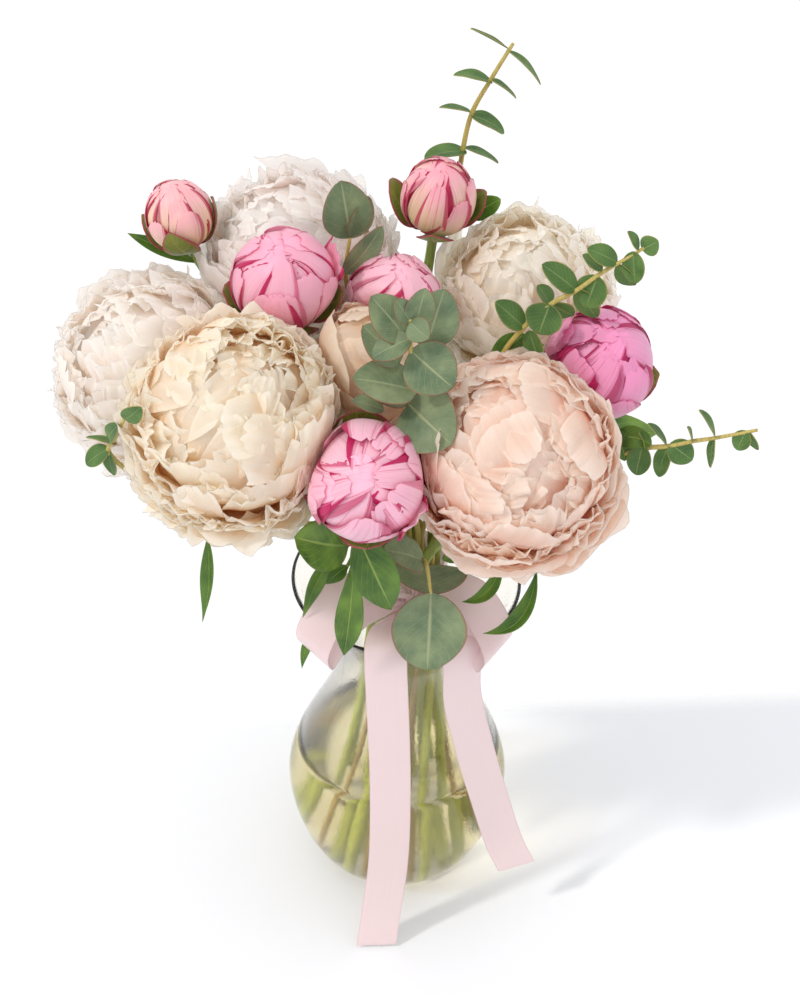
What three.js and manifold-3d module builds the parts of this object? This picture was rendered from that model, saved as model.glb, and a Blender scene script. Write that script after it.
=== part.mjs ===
// Peonies and eucalyptus in a pear-shaped glass vase of water, tied with a satin ribbon.
// Millimetres, +Z up, origin at the centre of the vase's base, the front towards -Y.
import * as THREE from 'three';
import { mergeVertices } from 'three/addons/utils/BufferGeometryUtils.js';
import Module from 'manifold-3d';

const wasm = await Module();
wasm.setup();

const at = (x, y, z) => new THREE.Vector3(x, y, z);
const turn = Math.PI * 2;
const degrees = Math.PI / 180;
const up = at(0, 0, 1);
const direction = (polar, azimuth) => at(
  Math.sin(polar) * Math.cos(azimuth), Math.sin(polar) * Math.sin(azimuth), Math.cos(polar));

// ---- driving dimensions

const clearance = 0.3; // between any two pieces
const vase = {
  height: 235, bulbRadius: 70, bulbHeight: 71, baseRadius: 35, neckRadius: 40, neckHeight: 174,
  rimRadius: 69.5, wall: 3, floor: 6, sides: 22,
};
const waterLevel = 99;

// The stems run straight from the floor to the binding, each turned a little round the bundle's
// axis, so that they are closest at the binding and never cross.
const binding = { height: 253, spacing: 8.5, twist: 0.0093 };
const stemRadius = { peony: 3.3, bud: 2.9, sprig: 1.7 };

const ribbonWidth = 25;
const ribbonThickness = 0.8;

// Heads: centre, radius, direction it faces, its place in the binding (ring, slot of that ring).
const openPeonies = {
  left_blush: { centre: at(-151, 15, 369), radius: 58, facing: at(-0.25, -0.4, 0.84), slot: [2, 5] },
  front_cream: { centre: at(-96, -52, 388), radius: 61, facing: at(0.05, -0.5, 0.85), slot: [2, 7] },
  back_blush: { centre: at(-70, 92, 400), radius: 60, facing: at(-0.2, -0.2, 0.94), slot: [2, 4] },
  right_white: { centre: at(63, 80, 386), radius: 54, facing: at(0.05, -0.25, 0.95), slot: [2, 1] },
  front_peach: { centre: at(59, -55, 379), radius: 58, facing: at(-0.2, -0.58, 0.77), slot: [2, 10] },
  middle_cream: { centre: at(-23, -8, 398), radius: 38, facing: at(-0.1, -0.3, 0.95), slot: [1, 4] },
};
const petalCounts = { back_blush: 9, right_white: 9, middle_cream: 6, others: 10 };
// A bud is a globe, its upper half drawn out to so many times its radius.
const peonyBuds = {
  left: { centre: at(-140, 76, 436), radius: 20, facing: at(-0.3, -0.1, 0.95), slot: [1, 2] },
  large_pink: { centre: at(-74, 20, 438), radius: 30, facing: at(-0.1, -0.35, 0.93), slot: [1, 3] },
  pale: { centre: at(-15, 32, 418), radius: 28, facing: at(0.1, -0.2, 0.97), slot: [1, 1] },
  tulip: { centre: at(8, 90, 447), radius: 22, facing: at(0.05, -0.3, 0.95), slot: [2, 3] },
  vivid_right: { centre: at(106, 14, 393), radius: 30, facing: at(0.2, -0.45, 0.87), slot: [2, 0] },
  striped_front: { centre: at(-22, -86, 374), radius: 33, facing: at(0, -0.75, 0.66), slot: [2, 8] },
};
const drawnOut = { left: 1.15, tulip: 1.25, striped_front: 1.02, others: 1 };
// How far petals reach past the radius, which sets where two heads press together.
const petalReach = { open: 1.05, bud: 1.02 };
const colours = {
  left_blush: 0xf3e4da, front_cream: 0xf3e6cf, back_blush: 0xf2e2da, right_white: 0xf4ebdc,
  front_peach: 0xf4d3c2, middle_cream: 0xf0e0c8, left: 0xe08a80, large_pink: 0xf0a6c2,
  pale: 0xf3bccb, tulip: 0xeec3a8, vivid_right: 0xea7fb4, striped_front: 0xf09cbc,
  stem: 0x8c9a4b, eucalyptus: 0x6d8f63, greyEucalyptus: 0x6f8c78, glass: 0xe6e8e6,
  water: 0xd9dcb8, ribbon: 0xeac9cf,
};

// ---- solids

function solidFrom(geometry) {
  const bare = geometry.clone();
  bare.deleteAttribute('normal');
  bare.deleteAttribute('uv');
  const merged = mergeVertices(bare, 1e-4);
  const vertProperties = new Float32Array(merged.attributes.position.array);
  const triVerts = Uint32Array.from(merged.index.array);
  const solid = new wasm.Manifold(new wasm.Mesh({ numProp: 3, vertProperties, triVerts }));
  if (solid.volume() > 0) return solid;
  for (let k = 0; k < triVerts.length; k += 3) triVerts.subarray(k, k + 2).reverse();
  return new wasm.Manifold(new wasm.Mesh({ numProp: 3, vertProperties, triVerts }));
}

function joined(solids) {
  return solids.reduce((sum, next) => sum.add(next));
}

function largest(solid) {
  const bodies = solid.decompose();
  return bodies.reduce((best, next) => (next.volume() > best.volume() ? next : best));
}

function meshFrom(name, solid, colour, look = {}) {
  const { vertProperties, triVerts } = solid.getMesh();
  const geometry = new THREE.BufferGeometry();
  geometry.setAttribute('position', new THREE.BufferAttribute(vertProperties, 3));
  geometry.setIndex(new THREE.BufferAttribute(triVerts, 1));
  geometry.computeVertexNormals();
  const material = new THREE.MeshStandardMaterial({ color: colour, roughness: 0.6, metalness: 0, ...look });
  const mesh = new THREE.Mesh(geometry, material);
  mesh.name = name;
  return mesh;
}

// A thin blade round a grid of middle points, grid[along][across], both faces split alike.
// A swell makes it thicker on both faces and wider at every edge.
function blade(grid, thickness, swell = 0) {
  const rows = grid.length;
  const columns = grid[0].length;
  const point = (j, i) => grid[Math.min(rows - 1, Math.max(0, j))][Math.min(columns - 1, Math.max(0, i))];
  const half = thickness / 2 + swell;
  const faces = [[], []];
  for (let j = 0; j < rows; j++) {
    for (let i = 0; i < columns; i++) {
      const across = point(j, i + 1).clone().sub(point(j, i - 1));
      const along = point(j + 1, i).clone().sub(point(j - 1, i));
      const normal = across.clone().cross(along).normalize();
      const middle = point(j, i).clone();
      const outAcross = i === 0 ? -1 : Number(i === columns - 1);
      const outAlong = j === 0 ? -1 : Number(j === rows - 1);
      middle.addScaledVector(across.normalize(), outAcross * swell);
      middle.addScaledVector(along.normalize(), outAlong * swell);
      faces[0].push(middle.clone().addScaledVector(normal, half));
      faces[1].push(middle.clone().addScaledVector(normal, -half));
    }
  }
  const front = (j, i) => j * columns + i;
  const back = (j, i) => rows * columns + front(j, i);
  const index = [];
  const quad = (a, b, c, d) => index.push(a, b, c, a, c, d);
  for (let j = 0; j < rows - 1; j++) {
    for (let i = 0; i < columns - 1; i++) {
      quad(front(j, i), front(j, i + 1), front(j + 1, i + 1), front(j + 1, i));
      index.push(back(j, i), back(j + 1, i + 1), back(j, i + 1));
      index.push(back(j, i), back(j + 1, i), back(j + 1, i + 1));
    }
  }
  for (let i = 0; i < columns - 1; i++) {
    quad(front(0, i), back(0, i), back(0, i + 1), front(0, i + 1));
    quad(front(rows - 1, i + 1), back(rows - 1, i + 1), back(rows - 1, i), front(rows - 1, i));
  }
  for (let j = 0; j < rows - 1; j++) {
    quad(front(j + 1, 0), back(j + 1, 0), back(j, 0), front(j, 0));
    quad(front(j, columns - 1), back(j, columns - 1), back(j + 1, columns - 1), front(j + 1, columns - 1));
  }
  const geometry = new THREE.BufferGeometry().setFromPoints([...faces[0], ...faces[1]]);
  geometry.setIndex(index);
  return solidFrom(geometry);
}

function tube(curve, radius, sides, steps) {
  const corners = Array.from({ length: sides }, (_, k) => new THREE.Vector2(
    radius * Math.cos((turn * k) / sides), radius * Math.sin((turn * k) / sides)));
  return solidFrom(new THREE.ExtrudeGeometry(new THREE.Shape(corners), { steps, extrudePath: curve }));
}

// A solid of revolution about +Z, from a profile of [radius, height] points.
function lathe(profile, sides) {
  const geometry = new THREE.LatheGeometry(profile.map(([r, z]) => new THREE.Vector2(r, z)), sides);
  geometry.rotateX(Math.PI / 2);
  return solidFrom(geometry);
}

function placed(solid, centre, facing) {
  const spin = new THREE.Quaternion().setFromUnitVectors(up, facing.clone().normalize());
  return solid.transform(new THREE.Matrix4().compose(centre, spin, at(1, 1, 1)).toArray());
}

// ---- vase and water

function vaseRadius(z) {
  const { bulbRadius, bulbHeight, baseRadius, neckRadius, neckHeight, rimRadius, height } = vase;
  const roundness = 1.65;
  if (z <= bulbHeight) {
    const drop = ((bulbHeight - z) / bulbHeight) ** roundness;
    return baseRadius + (bulbRadius - baseRadius) * (1 - drop) ** (1 / roundness);
  }
  if (z <= neckHeight) {
    const rise = ((z - bulbHeight) / (neckHeight - bulbHeight)) ** 0.92;
    return neckRadius + (bulbRadius - neckRadius) * (0.5 + 0.5 * Math.cos(Math.PI * rise));
  }
  const flare = ((z - neckHeight) / (height - neckHeight)) ** 1.9;
  return neckRadius + (rimRadius - neckRadius) * flare;
}

const wallLevels = [14, 36, 71, 98, 120, 144, 174, 200, 221];
const innerRadius = (z) => vaseRadius(z) - vase.wall;

function vaseSolid(swell = 0) {
  const { height, rimRadius, wall, floor, baseRadius, sides } = vase;
  const outside = [[0, 0], [baseRadius, 0], [vaseRadius(5) + swell, 5]];
  const inside = [];
  for (const z of wallLevels) {
    outside.push([vaseRadius(z) + swell, z]);
    inside.unshift([innerRadius(z) - swell, z]);
  }
  const rim = [[rimRadius + swell, height - 1.5 + swell], [rimRadius - wall / 2, height + swell],
    [rimRadius - wall - swell, height - 1 + swell]];
  return lathe([...outside, ...rim, ...inside, [baseRadius, floor + 1 + swell], [0, floor + swell]], sides);
}

function waterSolid(stems) {
  const wet = wallLevels.filter((z) => z < waterLevel - 5);
  const profile = [[0, vase.floor + clearance], [vase.baseRadius - clearance, vase.floor + 1 + clearance]];
  for (const z of wet) profile.push([innerRadius(z) - clearance, z + clearance / 2]);
  profile.push([innerRadius(waterLevel) - 2 * clearance, waterLevel], [0, waterLevel]);
  const water = lathe(profile, vase.sides);
  return stems.reduce((body, { foot, start, radius }) => {
    const along = start.clone().sub(foot).normalize();
    const hole = new THREE.LineCurve3(foot.clone().addScaledVector(along, -clearance),
      foot.clone().addScaledVector(along, waterLevel + 10));
    return body.subtract(tube(hole, radius + clearance, stemSides, 1));
  }, water);
}

// ---- stems

function bindingPlace([ring, slot]) {
  const angle = ring === 0 ? 0 : (turn * slot) / (6 * ring);
  const radius = ring * binding.spacing;
  return at(radius * Math.cos(angle), radius * Math.sin(angle), binding.height);
}

// From just above the vase's floor straight up to the binding.
function straightPart(slot) {
  const start = bindingPlace(slot);
  const lean = at(-start.y * binding.twist, start.x * binding.twist, 1);
  const footHeight = vase.floor + 2 + 2 * slot[0];
  const foot = start.clone().addScaledVector(lean, footHeight - binding.height);
  return { foot, start, lean };
}

// After the straight part a head's stem runs in one bend to its calyx.
function stemCurve(slot, end, arriving) {
  const { foot, start, lean } = straightPart(slot);
  const reach = start.distanceTo(end) * 0.36;
  const bend = new THREE.CubicBezierCurve3(
    start,
    start.clone().addScaledVector(lean.normalize(), reach),
    end.clone().addScaledVector(arriving.clone().normalize(), -reach),
    end);
  return { foot, start, bend };
}

// One straight step from the foot to the binding, then the bend in even steps.
class StemPath extends THREE.Curve {
  constructor({ foot, start, bend }, bendSteps) {
    super();
    Object.assign(this, { foot, start, bend, steps: bendSteps + 1 });
  }

  getPoint(t) {
    const step = t * this.steps;
    if (step <= 1) return this.foot.clone().lerp(this.start, step);
    return this.bend.getPointAt(Math.min(1, (step - 1) / (this.steps - 1)));
  }

  getPointAt(t) {
    return this.getPoint(t);
  }

  getTangentAt(t) {
    return this.getTangent(t);
  }
}

const stemSides = 5;

function stemSolid(stem, bendSteps, swell) {
  return tube(new StemPath(stem, bendSteps), stem.radius + swell, stemSides, bendSteps + 1);
}

// ---- leaves

// The middle surface of a leaf whose rib runs root - belly - tip, widest at the share given.
function leafGrid({ root, belly, tip, width, side, widest = 0.45, cup = 0.12, rows = 3, stalk = 0.16 }) {
  const rib = new THREE.QuadraticBezierCurve3(root, belly, tip);
  const grid = [];
  for (let j = 0; j <= rows; j++) {
    const v = j / rows;
    const along = rib.getTangent(v);
    const across = side.clone().addScaledVector(along, -side.dot(along)).normalize();
    const face = across.clone().cross(along).normalize();
    const swing = Math.sin(Math.PI * v ** (Math.log(0.5) / Math.log(widest)));
    const half = (width / 2) * Math.max(j === rows ? 0.1 : stalk, swing);
    grid.push([-1, 0, 1].map((u) => rib.getPoint(v)
      .addScaledVector(across, u * half)
      .addScaledVector(face, cup * half * (u * u - 0.3))));
  }
  return grid;
}

const leafThickness = 0.8;
const leaf = (shape, swell) => blade(leafGrid(shape), leafThickness, swell);

// Opposite pairs of round leaves up the end of a sprig, each pair a quarter turn from the last
// and made as one blade from tip to tip through the stem.
const pairOutline = [[-1, 0.3], [-0.72, 0.92], [-0.34, 1], [0, 0.1], [0.34, 1], [0.72, 0.92], [1, 0.3]];

function sprigLeaves({ path, from, pairs, size, spread, spin, cupped }, swell) {
  const leaves = [];
  for (let k = 0; k < pairs; k++) {
    const share = k / (pairs - 1);
    const t = from + (0.985 - from) * share;
    const root = path.getPointAt(t);
    const along = path.getTangentAt(t).normalize();
    const aside = at(-along.y, along.x, 0).normalize().applyAxisAngle(along, spin + k * Math.PI / 2);
    const across = aside.clone().cross(along);
    const length = size[0] + (size[1] - size[0]) * share;
    const columns = cupped ? [-1, 0, 1] : [-1, 1];
    const grid = pairOutline.map(([reach, width]) => columns.map((u) => root.clone()
      .addScaledVector(aside, reach * length * Math.sin(spread))
      .addScaledVector(along, Math.abs(reach) * length * Math.cos(spread))
      .addScaledVector(along, 0.07 * width * length * (u * u - 1))
      .addScaledVector(across, (u * width * length * 0.86) / 2)));
    leaves.push(blade(grid, leafThickness, swell));
  }
  return leaves;
}

// ---- open peonies

const goldenAngle = 137.5 * degrees;
const petalThickness = 0.8;
const coreShare = 0.6;
const calyxAngle = 150 * degrees;

// Where a bloom would press into a neighbour, the plane between the two of them.
function partings(self, all) {
  const planes = [];
  for (const other of all) {
    if (other === self) continue;
    const toward = other.centre.clone().sub(self.centre);
    const distance = toward.length();
    const reach = self.radius * self.reach + other.radius * other.reach;
    if (distance > reach) continue;
    const a = self.radius * self.reach;
    const b = other.radius * other.reach;
    const offset = (distance ** 2 + a ** 2 - b ** 2) / (2 * distance);
    planes.push({ normal: toward.normalize(), offset: offset + self.centre.dot(toward) });
  }
  return planes;
}

// Petals near a parting plane bend softly until they stay on their own side of it.
function pressedBack(point, planes) {
  const softness = 2.5;
  const margin = 1.2;
  for (const { normal, offset } of planes) {
    const over = normal.dot(point) - offset + margin;
    point.addScaledVector(normal, -softness * Math.log1p(Math.exp(over / softness)));
  }
  return point;
}

// Petals stand in a golden-angle spiral on shells that grow outwards: the inner ones close over
// the middle, the guard petals of the outside lie open.
function petalGrid(bloom, index) {
  const { radius, petals } = bloom;
  const s = (index + 0.5) / petals;
  const azimuth = index * goldenAngle;
  const root = (62 + 80 * s) * degrees;
  const tip = (6 + 88 * s ** 1.3) * degrees;
  const shell = radius * (0.66 + 0.33 * s);
  const half = radius * (0.36 + 0.2 * s);
  const flare = radius * (0.02 + 0.12 * s * s);
  const widths = [0.5, 0.95, 1.05, 0.72];
  return widths.map((share, j) => {
    const v = j / (widths.length - 1);
    const polar = root + (tip - root) * v;
    const outward = direction(polar, azimuth);
    const across = at(-Math.sin(azimuth), Math.cos(azimuth), 0);
    return [-1, 0, 1].map((u) => {
      const swing = (u * half * share) / shell;
      const notch = j === widths.length - 1 && u === 0 ? -0.05 * radius : 0;
      const distance = j === 0 ? radius * (coreShare - 0.05) : shell + flare * v ** 3 + notch;
      return outward.clone().multiplyScalar(Math.cos(swing) * distance)
        .addScaledVector(across, Math.sin(swing) * distance);
    });
  });
}

const coreAngles = [180, 150, 112, 74, 36, 0];

function ball(radius, sides = 8) {
  return lathe(coreAngles.map((angle) => [
    radius * Math.sin(angle * degrees), radius * Math.cos(angle * degrees)]), sides);
}

function openPeony(bloom, swell = 0) {
  const matrix = new THREE.Matrix4().compose(bloom.centre,
    new THREE.Quaternion().setFromUnitVectors(up, bloom.facing), at(1, 1, 1));
  const parts = [placed(ball(bloom.radius * coreShare + swell), bloom.centre, bloom.facing)];
  for (let i = 0; i < bloom.petals; i++) {
    const grid = petalGrid(bloom, i)
      .map((row) => row.map((point) => pressedBack(point.applyMatrix4(matrix), bloom.partings)));
    parts.push(blade(grid, petalThickness, swell));
  }
  return trimmed(joined(parts), bloom.partings, swell);
}

function trimmed(solid, planes, swell) {
  const gap = clearance / 2 - swell;
  return planes.reduce((body, { normal, offset }) => (
    body.trimByPlane([-normal.x, -normal.y, -normal.z], -(offset - gap))), solid);
}

// ---- buds

const budPetals = 5;
const budSpiral = 0.9;

// A closed globe whose overlapping petals are raised by a formula: each petal climbs over the
// next one from its sunk edge to its free edge, and the edges wind round towards the tip.
function bud(head, swell = 0) {
  const { radius, tall, centre, facing } = head;
  const columns = [0, 0.3, 0.62, 0.9];
  const relief = [-0.07, -0.02, 0.01, 0.03];
  const levels = [150, 122, 96, 72, 48, 24];
  const points = [at(0, 0, -radius)];
  for (const level of levels) {
    const rising = 1 - level / 180;
    for (let petal = 0; petal < budPetals; petal++) {
      columns.forEach((share, k) => {
        const azimuth = (turn * (petal + share)) / budPetals + budSpiral * rising * 2;
        const lift = 1 + relief[k] * Math.sin(Math.PI * Math.min(1, 2.2 * (rising - 0.12)) / 2);
        const distance = radius * lift;
        const polar = level * degrees;
        const height = Math.cos(polar) * (level < 90 ? tall : 1);
        points.push(direction(polar, azimuth).setZ(height).multiplyScalar(distance));
      });
    }
  }
  points.push(at(0, 0, radius * tall * 0.96));
  const around = budPetals * columns.length;
  const ringPoint = (level, k) => 1 + level * around + (k % around);
  const index = [];
  for (let k = 0; k < around; k++) {
    index.push(0, ringPoint(0, k + 1), ringPoint(0, k));
    index.push(points.length - 1, ringPoint(levels.length - 1, k), ringPoint(levels.length - 1, k + 1));
    for (let level = 0; level < levels.length - 1; level++) {
      const [a, b] = [ringPoint(level, k), ringPoint(level, k + 1)];
      const [c, d] = [ringPoint(level + 1, k + 1), ringPoint(level + 1, k)];
      index.push(a, b, c, a, c, d);
    }
  }
  for (const point of points) point.multiplyScalar(1 + swell / radius);
  const geometry = new THREE.BufferGeometry().setFromPoints(points);
  geometry.setIndex(index);
  const solid = placed(solidFrom(geometry), centre, facing);
  return trimmed(solid, head.partings, swell);
}

// ---- what carries a head: calyx, sepals, stem and the leaves on the stem

// A shallow cup round the foot of the head, its facets along those of the head's own foot.
const calyxSides = 8;
const calyxWall = 3;
const cupRadius = ({ petals, radius }) => (petals ? radius * coreShare + 0.4 : radius * 1.03 + 2.2);

function calyx(head, swell) {
  const inner = cupRadius(head) - swell;
  const outer = cupRadius(head) + calyxWall + swell;
  const ring = (r, angle) => [r * Math.sin(angle), r * Math.cos(angle)];
  const profile = [[0, -inner], ring(inner, calyxAngle), ring(outer, calyxAngle - 0.06), [0, -outer - 2]];
  return placed(lathe(profile, calyxSides), head.centre, head.facing);
}

// A bud's calyx: the cup's rim runs up into three sepals that lie along the bud.
const sepalCount = 3;
const sepalRoot = 156; // degrees from the tip of the bud
const sepalEdge = [100, 138, 150, 138]; // the same, from a sepal's tip round to the next one

function sepalCup(head, swell) {
  const around = sepalCount * sepalEdge.length;
  const inner = (head.radius * 1.03 + clearance) / Math.cos(Math.PI / around) + 1.3 - swell;
  const outer = inner + 1.4 + 2 * swell;
  const points = [at(0, 0, -inner), at(0, 0, -outer - 3)];
  for (let k = 0; k < around; k++) {
    const azimuth = (turn * k) / around;
    const top = sepalEdge[k % sepalEdge.length];
    const middle = (sepalRoot + top) / 2;
    for (const [radius, level] of [[inner, sepalRoot], [inner, middle], [inner, top],
      [outer, top], [outer, middle], [outer, sepalRoot]]) {
      points.push(direction(level * degrees, azimuth).multiplyScalar(radius));
    }
  }
  const index = [];
  const ring = (k, level) => 2 + (k % around) * 6 + level;
  for (let k = 0; k < around; k++) {
    index.push(0, ring(k, 0), ring(k + 1, 0), 1, ring(k + 1, 5), ring(k, 5));
    for (let level = 0; level < 3; level++) {
      index.push(ring(k, level), ring(k, level + 1), ring(k + 1, level + 1));
      index.push(ring(k, level), ring(k + 1, level + 1), ring(k + 1, level));
    }
    // The outer face is split along the same lines as the inner one.
    for (let level = 3; level < 5; level++) {
      index.push(ring(k, level), ring(k, level + 1), ring(k + 1, level));
      index.push(ring(k + 1, level), ring(k, level + 1), ring(k + 1, level + 1));
    }
  }
  const geometry = new THREE.BufferGeometry().setFromPoints(points);
  geometry.setIndex(index);
  return placed(solidFrom(geometry), head.centre, head.facing);
}

function headStem(head) {
  const end = head.centre.clone().addScaledVector(head.facing, -cupRadius(head) - calyxWall / 2);
  const radius = head.petals ? stemRadius.peony : stemRadius.bud;
  return { ...stemCurve(head.slot, end, head.facing), radius };
}

function carrier(head, swell = 0) {
  const cup = head.petals ? calyx(head, swell) : sepalCup(head, swell);
  return stemSolid(head.stem, 6, swell).add(cup);
}

// Leaves that grow on the peony stems: where on the bend of the stem each is rooted, the point
// that its rib bows through, its tip and its width.
const stemLeaves = {
  striped_front: [
    { on: 0.62, belly: at(-44, -70, 344), tip: at(-72, -86, 332), width: 32 },
    { on: 0.45, belly: at(-36, -72, 318), tip: at(-33, -83, 247), width: 24 },
    { on: 0.55, belly: at(-16, -82, 322), tip: at(-7, -82, 283), width: 28 },
  ],
  front_peach: [
    { on: 0.5, belly: at(58, -60, 306), tip: at(28, -75, 284), width: 10 },
    { on: 0.42, belly: at(74, -48, 288), tip: at(47, -70, 258), width: 12 },
    { on: 0.7, belly: at(48, -74, 318), tip: at(72, -104, 306), width: 26 },
  ],
  front_cream: [
    { on: 0.6, belly: at(-108, -56, 312), tip: at(-117, -62, 246), width: 14 },
    { on: 0.35, belly: at(-44, -38, 300), tip: at(-62, -60, 270), width: 12 },
  ],
  left_blush: [
    { on: 0.28, belly: at(-50, -24, 282), tip: at(-60, -54, 208), width: 14 },
    { on: 0.75, belly: at(-150, 40, 318), tip: at(-186, 66, 288), width: 28 },
  ],
  left: [{ on: 0.95, belly: at(-154, 74, 416), tip: at(-170, 74, 424), width: 9 }],
  right_white: [
    { on: 0.8, belly: at(58, 30, 366), tip: at(54, 8, 404), width: 22 },
    { on: 0.6, belly: at(90, 110, 330), tip: at(118, 146, 300), width: 32 },
  ],
  vivid_right: [
    { on: 0.8, belly: at(118, -8, 352), tip: at(132, -34, 366), width: 16 },
    { on: 0.6, belly: at(118, 44, 320), tip: at(150, 74, 296), width: 28 },
  ],
  back_blush: [
    { on: 0.55, belly: at(-84, 124, 330), tip: at(-108, 158, 290), width: 32 },
    { on: 0.7, belly: at(-30, 128, 352), tip: at(-20, 160, 334), width: 26 },
  ],
  tulip: [{ on: 0.5, belly: at(24, 112, 336), tip: at(44, 152, 312), width: 30 }],
};

function headLeaves(name, head, swell) {
  return (stemLeaves[name] ?? []).map(({ on, belly, tip, width }) => {
    const root = head.stem.bend.getPoint(on);
    return leaf({ root, belly, tip, width, side: at(-tip.y, tip.x, 0) }, swell);
  });
}

// ---- eucalyptus sprigs

// The points that each stem bends through after the binding, then its pairs of leaves.
const sprigs = {
  tall_back: {
    slot: [2, 2], colour: 'eucalyptus', from: 0.58, pairs: 5, size: [26, 18], spread: 60, spin: 0.3,
    through: [[10, 62, 340], [17, 108, 400], [23, 112, 461], [31, 110, 488], [38, 105, 513], [43, 102, 535]],
  },
  right_diagonal: {
    slot: [1, 0], colour: 'eucalyptus', from: 0.6, pairs: 5, size: [25, 15], spread: 65, spin: 0.2,
    through: [[30, 6, 330], [42, 8, 375], [50, 0, 407], [77, 0, 436], [97, 5, 453], [123, 10, 477],
      [133, 10, 487]],
  },
  right_low: {
    slot: [2, 11], colour: 'eucalyptus', from: 0.58, pairs: 4, size: [21, 14], spread: 55, spin: 0.4,
    through: [[46, -8, 292], [88, -14, 322], [116, -26, 356], [140, -30, 367], [165, -30, 374],
      [186, -30, 381]],
  },
  middle_round: {
    slot: [1, 5], colour: 'greyEucalyptus', from: 0.76, pairs: 4, size: [44, 16], spread: 68, spin: 0.9,
    through: [[0, -24, 320], [0, -44, 380], [-3, -54, 410], [3, -57, 431], [-1, -56, 449], [2, -58, 463]],
    cupped: true,
  },
  front_hanging: {
    slot: [2, 9], colour: 'greyEucalyptus', through: [[2, -40, 284], [10, -60, 300], [14, -71, 286]],
    leaves: [
      { root: at(14, -70, 287), belly: at(14, -80, 266), tip: at(14, -84, 239), width: 43 },
      { root: at(14, -70, 288), belly: at(12, -72, 304), tip: at(10, -62, 324), width: 44 },
      { root: at(9, -58, 299), belly: at(0, -64, 308), tip: at(-12, -72, 314), width: 22 },
    ],
  },
  behind_large_bud: {
    slot: [0, 0], colour: 'greyEucalyptus', from: 0.84, pairs: 2, size: [36, 28], spread: 50, spin: 0.2,
    through: [[-18, 18, 322], [-36, 46, 385], [-46, 51, 425], [-47, 58, 447]],
    cupped: true,
  },
  left_small: {
    slot: [2, 6], colour: 'eucalyptus', from: 0.74, pairs: 3, size: [20, 14], spread: 60, spin: 0.5,
    through: [[-66, -12, 284], [-116, -30, 303], [-145, -44, 330], [-160, -50, 358], [-152, -52, 384]],
  },
};

function sprigStemCurve({ slot, through }) {
  const { foot, start, lean } = straightPart(slot);
  const above = start.clone().addScaledVector(lean, 20);
  const points = [start, above, ...through.map(([x, y, z]) => at(x, y, z))];
  const bend = new THREE.CatmullRomCurve3(points, false, 'centripetal');
  return { foot, start, bend, radius: stemRadius.sprig };
}

const sprigStem = (sprig, swell = 0) => stemSolid(sprig.stem, sprig.leaves ? 5 : 8, swell);

function sprigFoliage(sprig, swell) {
  if (sprig.leaves) {
    return sprig.leaves.map((shape) => leaf({ side: at(1, 0, 0), widest: 0.5, ...shape }, swell));
  }
  return sprigLeaves({ ...sprig, path: sprig.stem.bend, spread: sprig.spread * degrees }, swell);
}

// ---- ribbon

const knot = { centre: at(4, -28.5, 243), half: at(9, 6.5, 11) };
const bundleRadius = 2 * binding.spacing + stemRadius.peony + 1.2;

function ribbonBand(swell = 0) {
  const inner = bundleRadius + 2 - swell;
  const outer = inner + ribbonThickness + 2 * swell;
  const [low, high] = [knot.centre.z - ribbonWidth / 2 - swell, knot.centre.z + ribbonWidth / 2 + swell];
  return lathe([[inner, low], [outer, low], [outer, high], [inner, high], [inner, low]], 20);
}

function ribbonKnot(swell = 0) {
  const { centre, half } = knot;
  return ball(1, 10).scale([half.x + swell, half.y + swell, half.z + swell]).translate(centre.toArray());
}

// A strip of ribbon along a curve, its width turned from one direction to another on the way and
// gathered where it goes into the knot: at its start, and at its end too if it is a loop.
function strip({ through, widthFrom, widthTo, steps, loop }, swell = 0) {
  const path = new THREE.CatmullRomCurve3(through.map(([x, y, z]) => at(x, y, z)), false, 'centripetal');
  const grid = [];
  for (let j = 0; j <= steps; j++) {
    const t = j / steps;
    const across = at(...widthFrom).lerp(at(...widthTo), t).normalize();
    const fromKnot = loop ? Math.min(t, 1 - t) : t;
    const half = (ribbonWidth / 2) * Math.min(1, gathered + fromKnot * path.getLength() / spreading);
    grid.push([-1, 1].map((u) => path.getPointAt(t).addScaledVector(across, u * half)));
  }
  return blade(grid, ribbonThickness, swell);
}

const gathered = 0.4; // share of the ribbon's width at the knot
const spreading = 40; // length that the ribbon would need to spread from nothing to its full width

const strips = {
  ribbon_loop_left: {
    through: [[1, -31, 250], [-14, -40, 263], [-33, -50, 265], [-47, -62, 254], [-53, -70, 240],
      [-50, -67, 230], [-43, -58, 238], [-33, -50, 248], [-18, -42, 252], [-1, -32, 245]],
    widthFrom: [0.78, -0.5, -0.39], widthTo: [0.78, -0.5, -0.39], steps: 16, loop: true,
  },
  ribbon_loop_right: {
    through: [[8, -31, 249], [22, -40, 263], [37, -47, 263], [49, -56, 253], [55, -64, 241], [51, -62, 231],
      [47, -57, 240], [39, -51, 249], [22, -42, 252], [9, -32, 245]],
    widthFrom: [-0.62, -0.46, -0.63], widthTo: [-0.62, -0.46, -0.63], steps: 16, loop: true,
  },
  ribbon_tail_middle: {
    through: [[1, -33, 238], [-6, -50, 243], [-10, -66, 242], [-10, -73, 233], [-8, -75.5, 203],
      [-4, -75.5, 132], [-3, -79, 66], [-6, -86, 26], [-8, -93, 3]],
    widthFrom: [1, 0.1, 0], widthTo: [1, 0.1, 0], steps: 14,
  },
  ribbon_tail_right: {
    through: [[7, -31, 237], [20, -48, 240], [31, -60, 242], [34, -67, 234], [36, -68, 204], [45, -62, 158],
      [57, -56, 108], [70, -56, 64], [79, -58, 44]],
    widthFrom: [0.85, 0.5, 0], widthTo: [0.9, 0.4, 0], steps: 14,
  },
};

// ---- the whole arrangement

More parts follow.
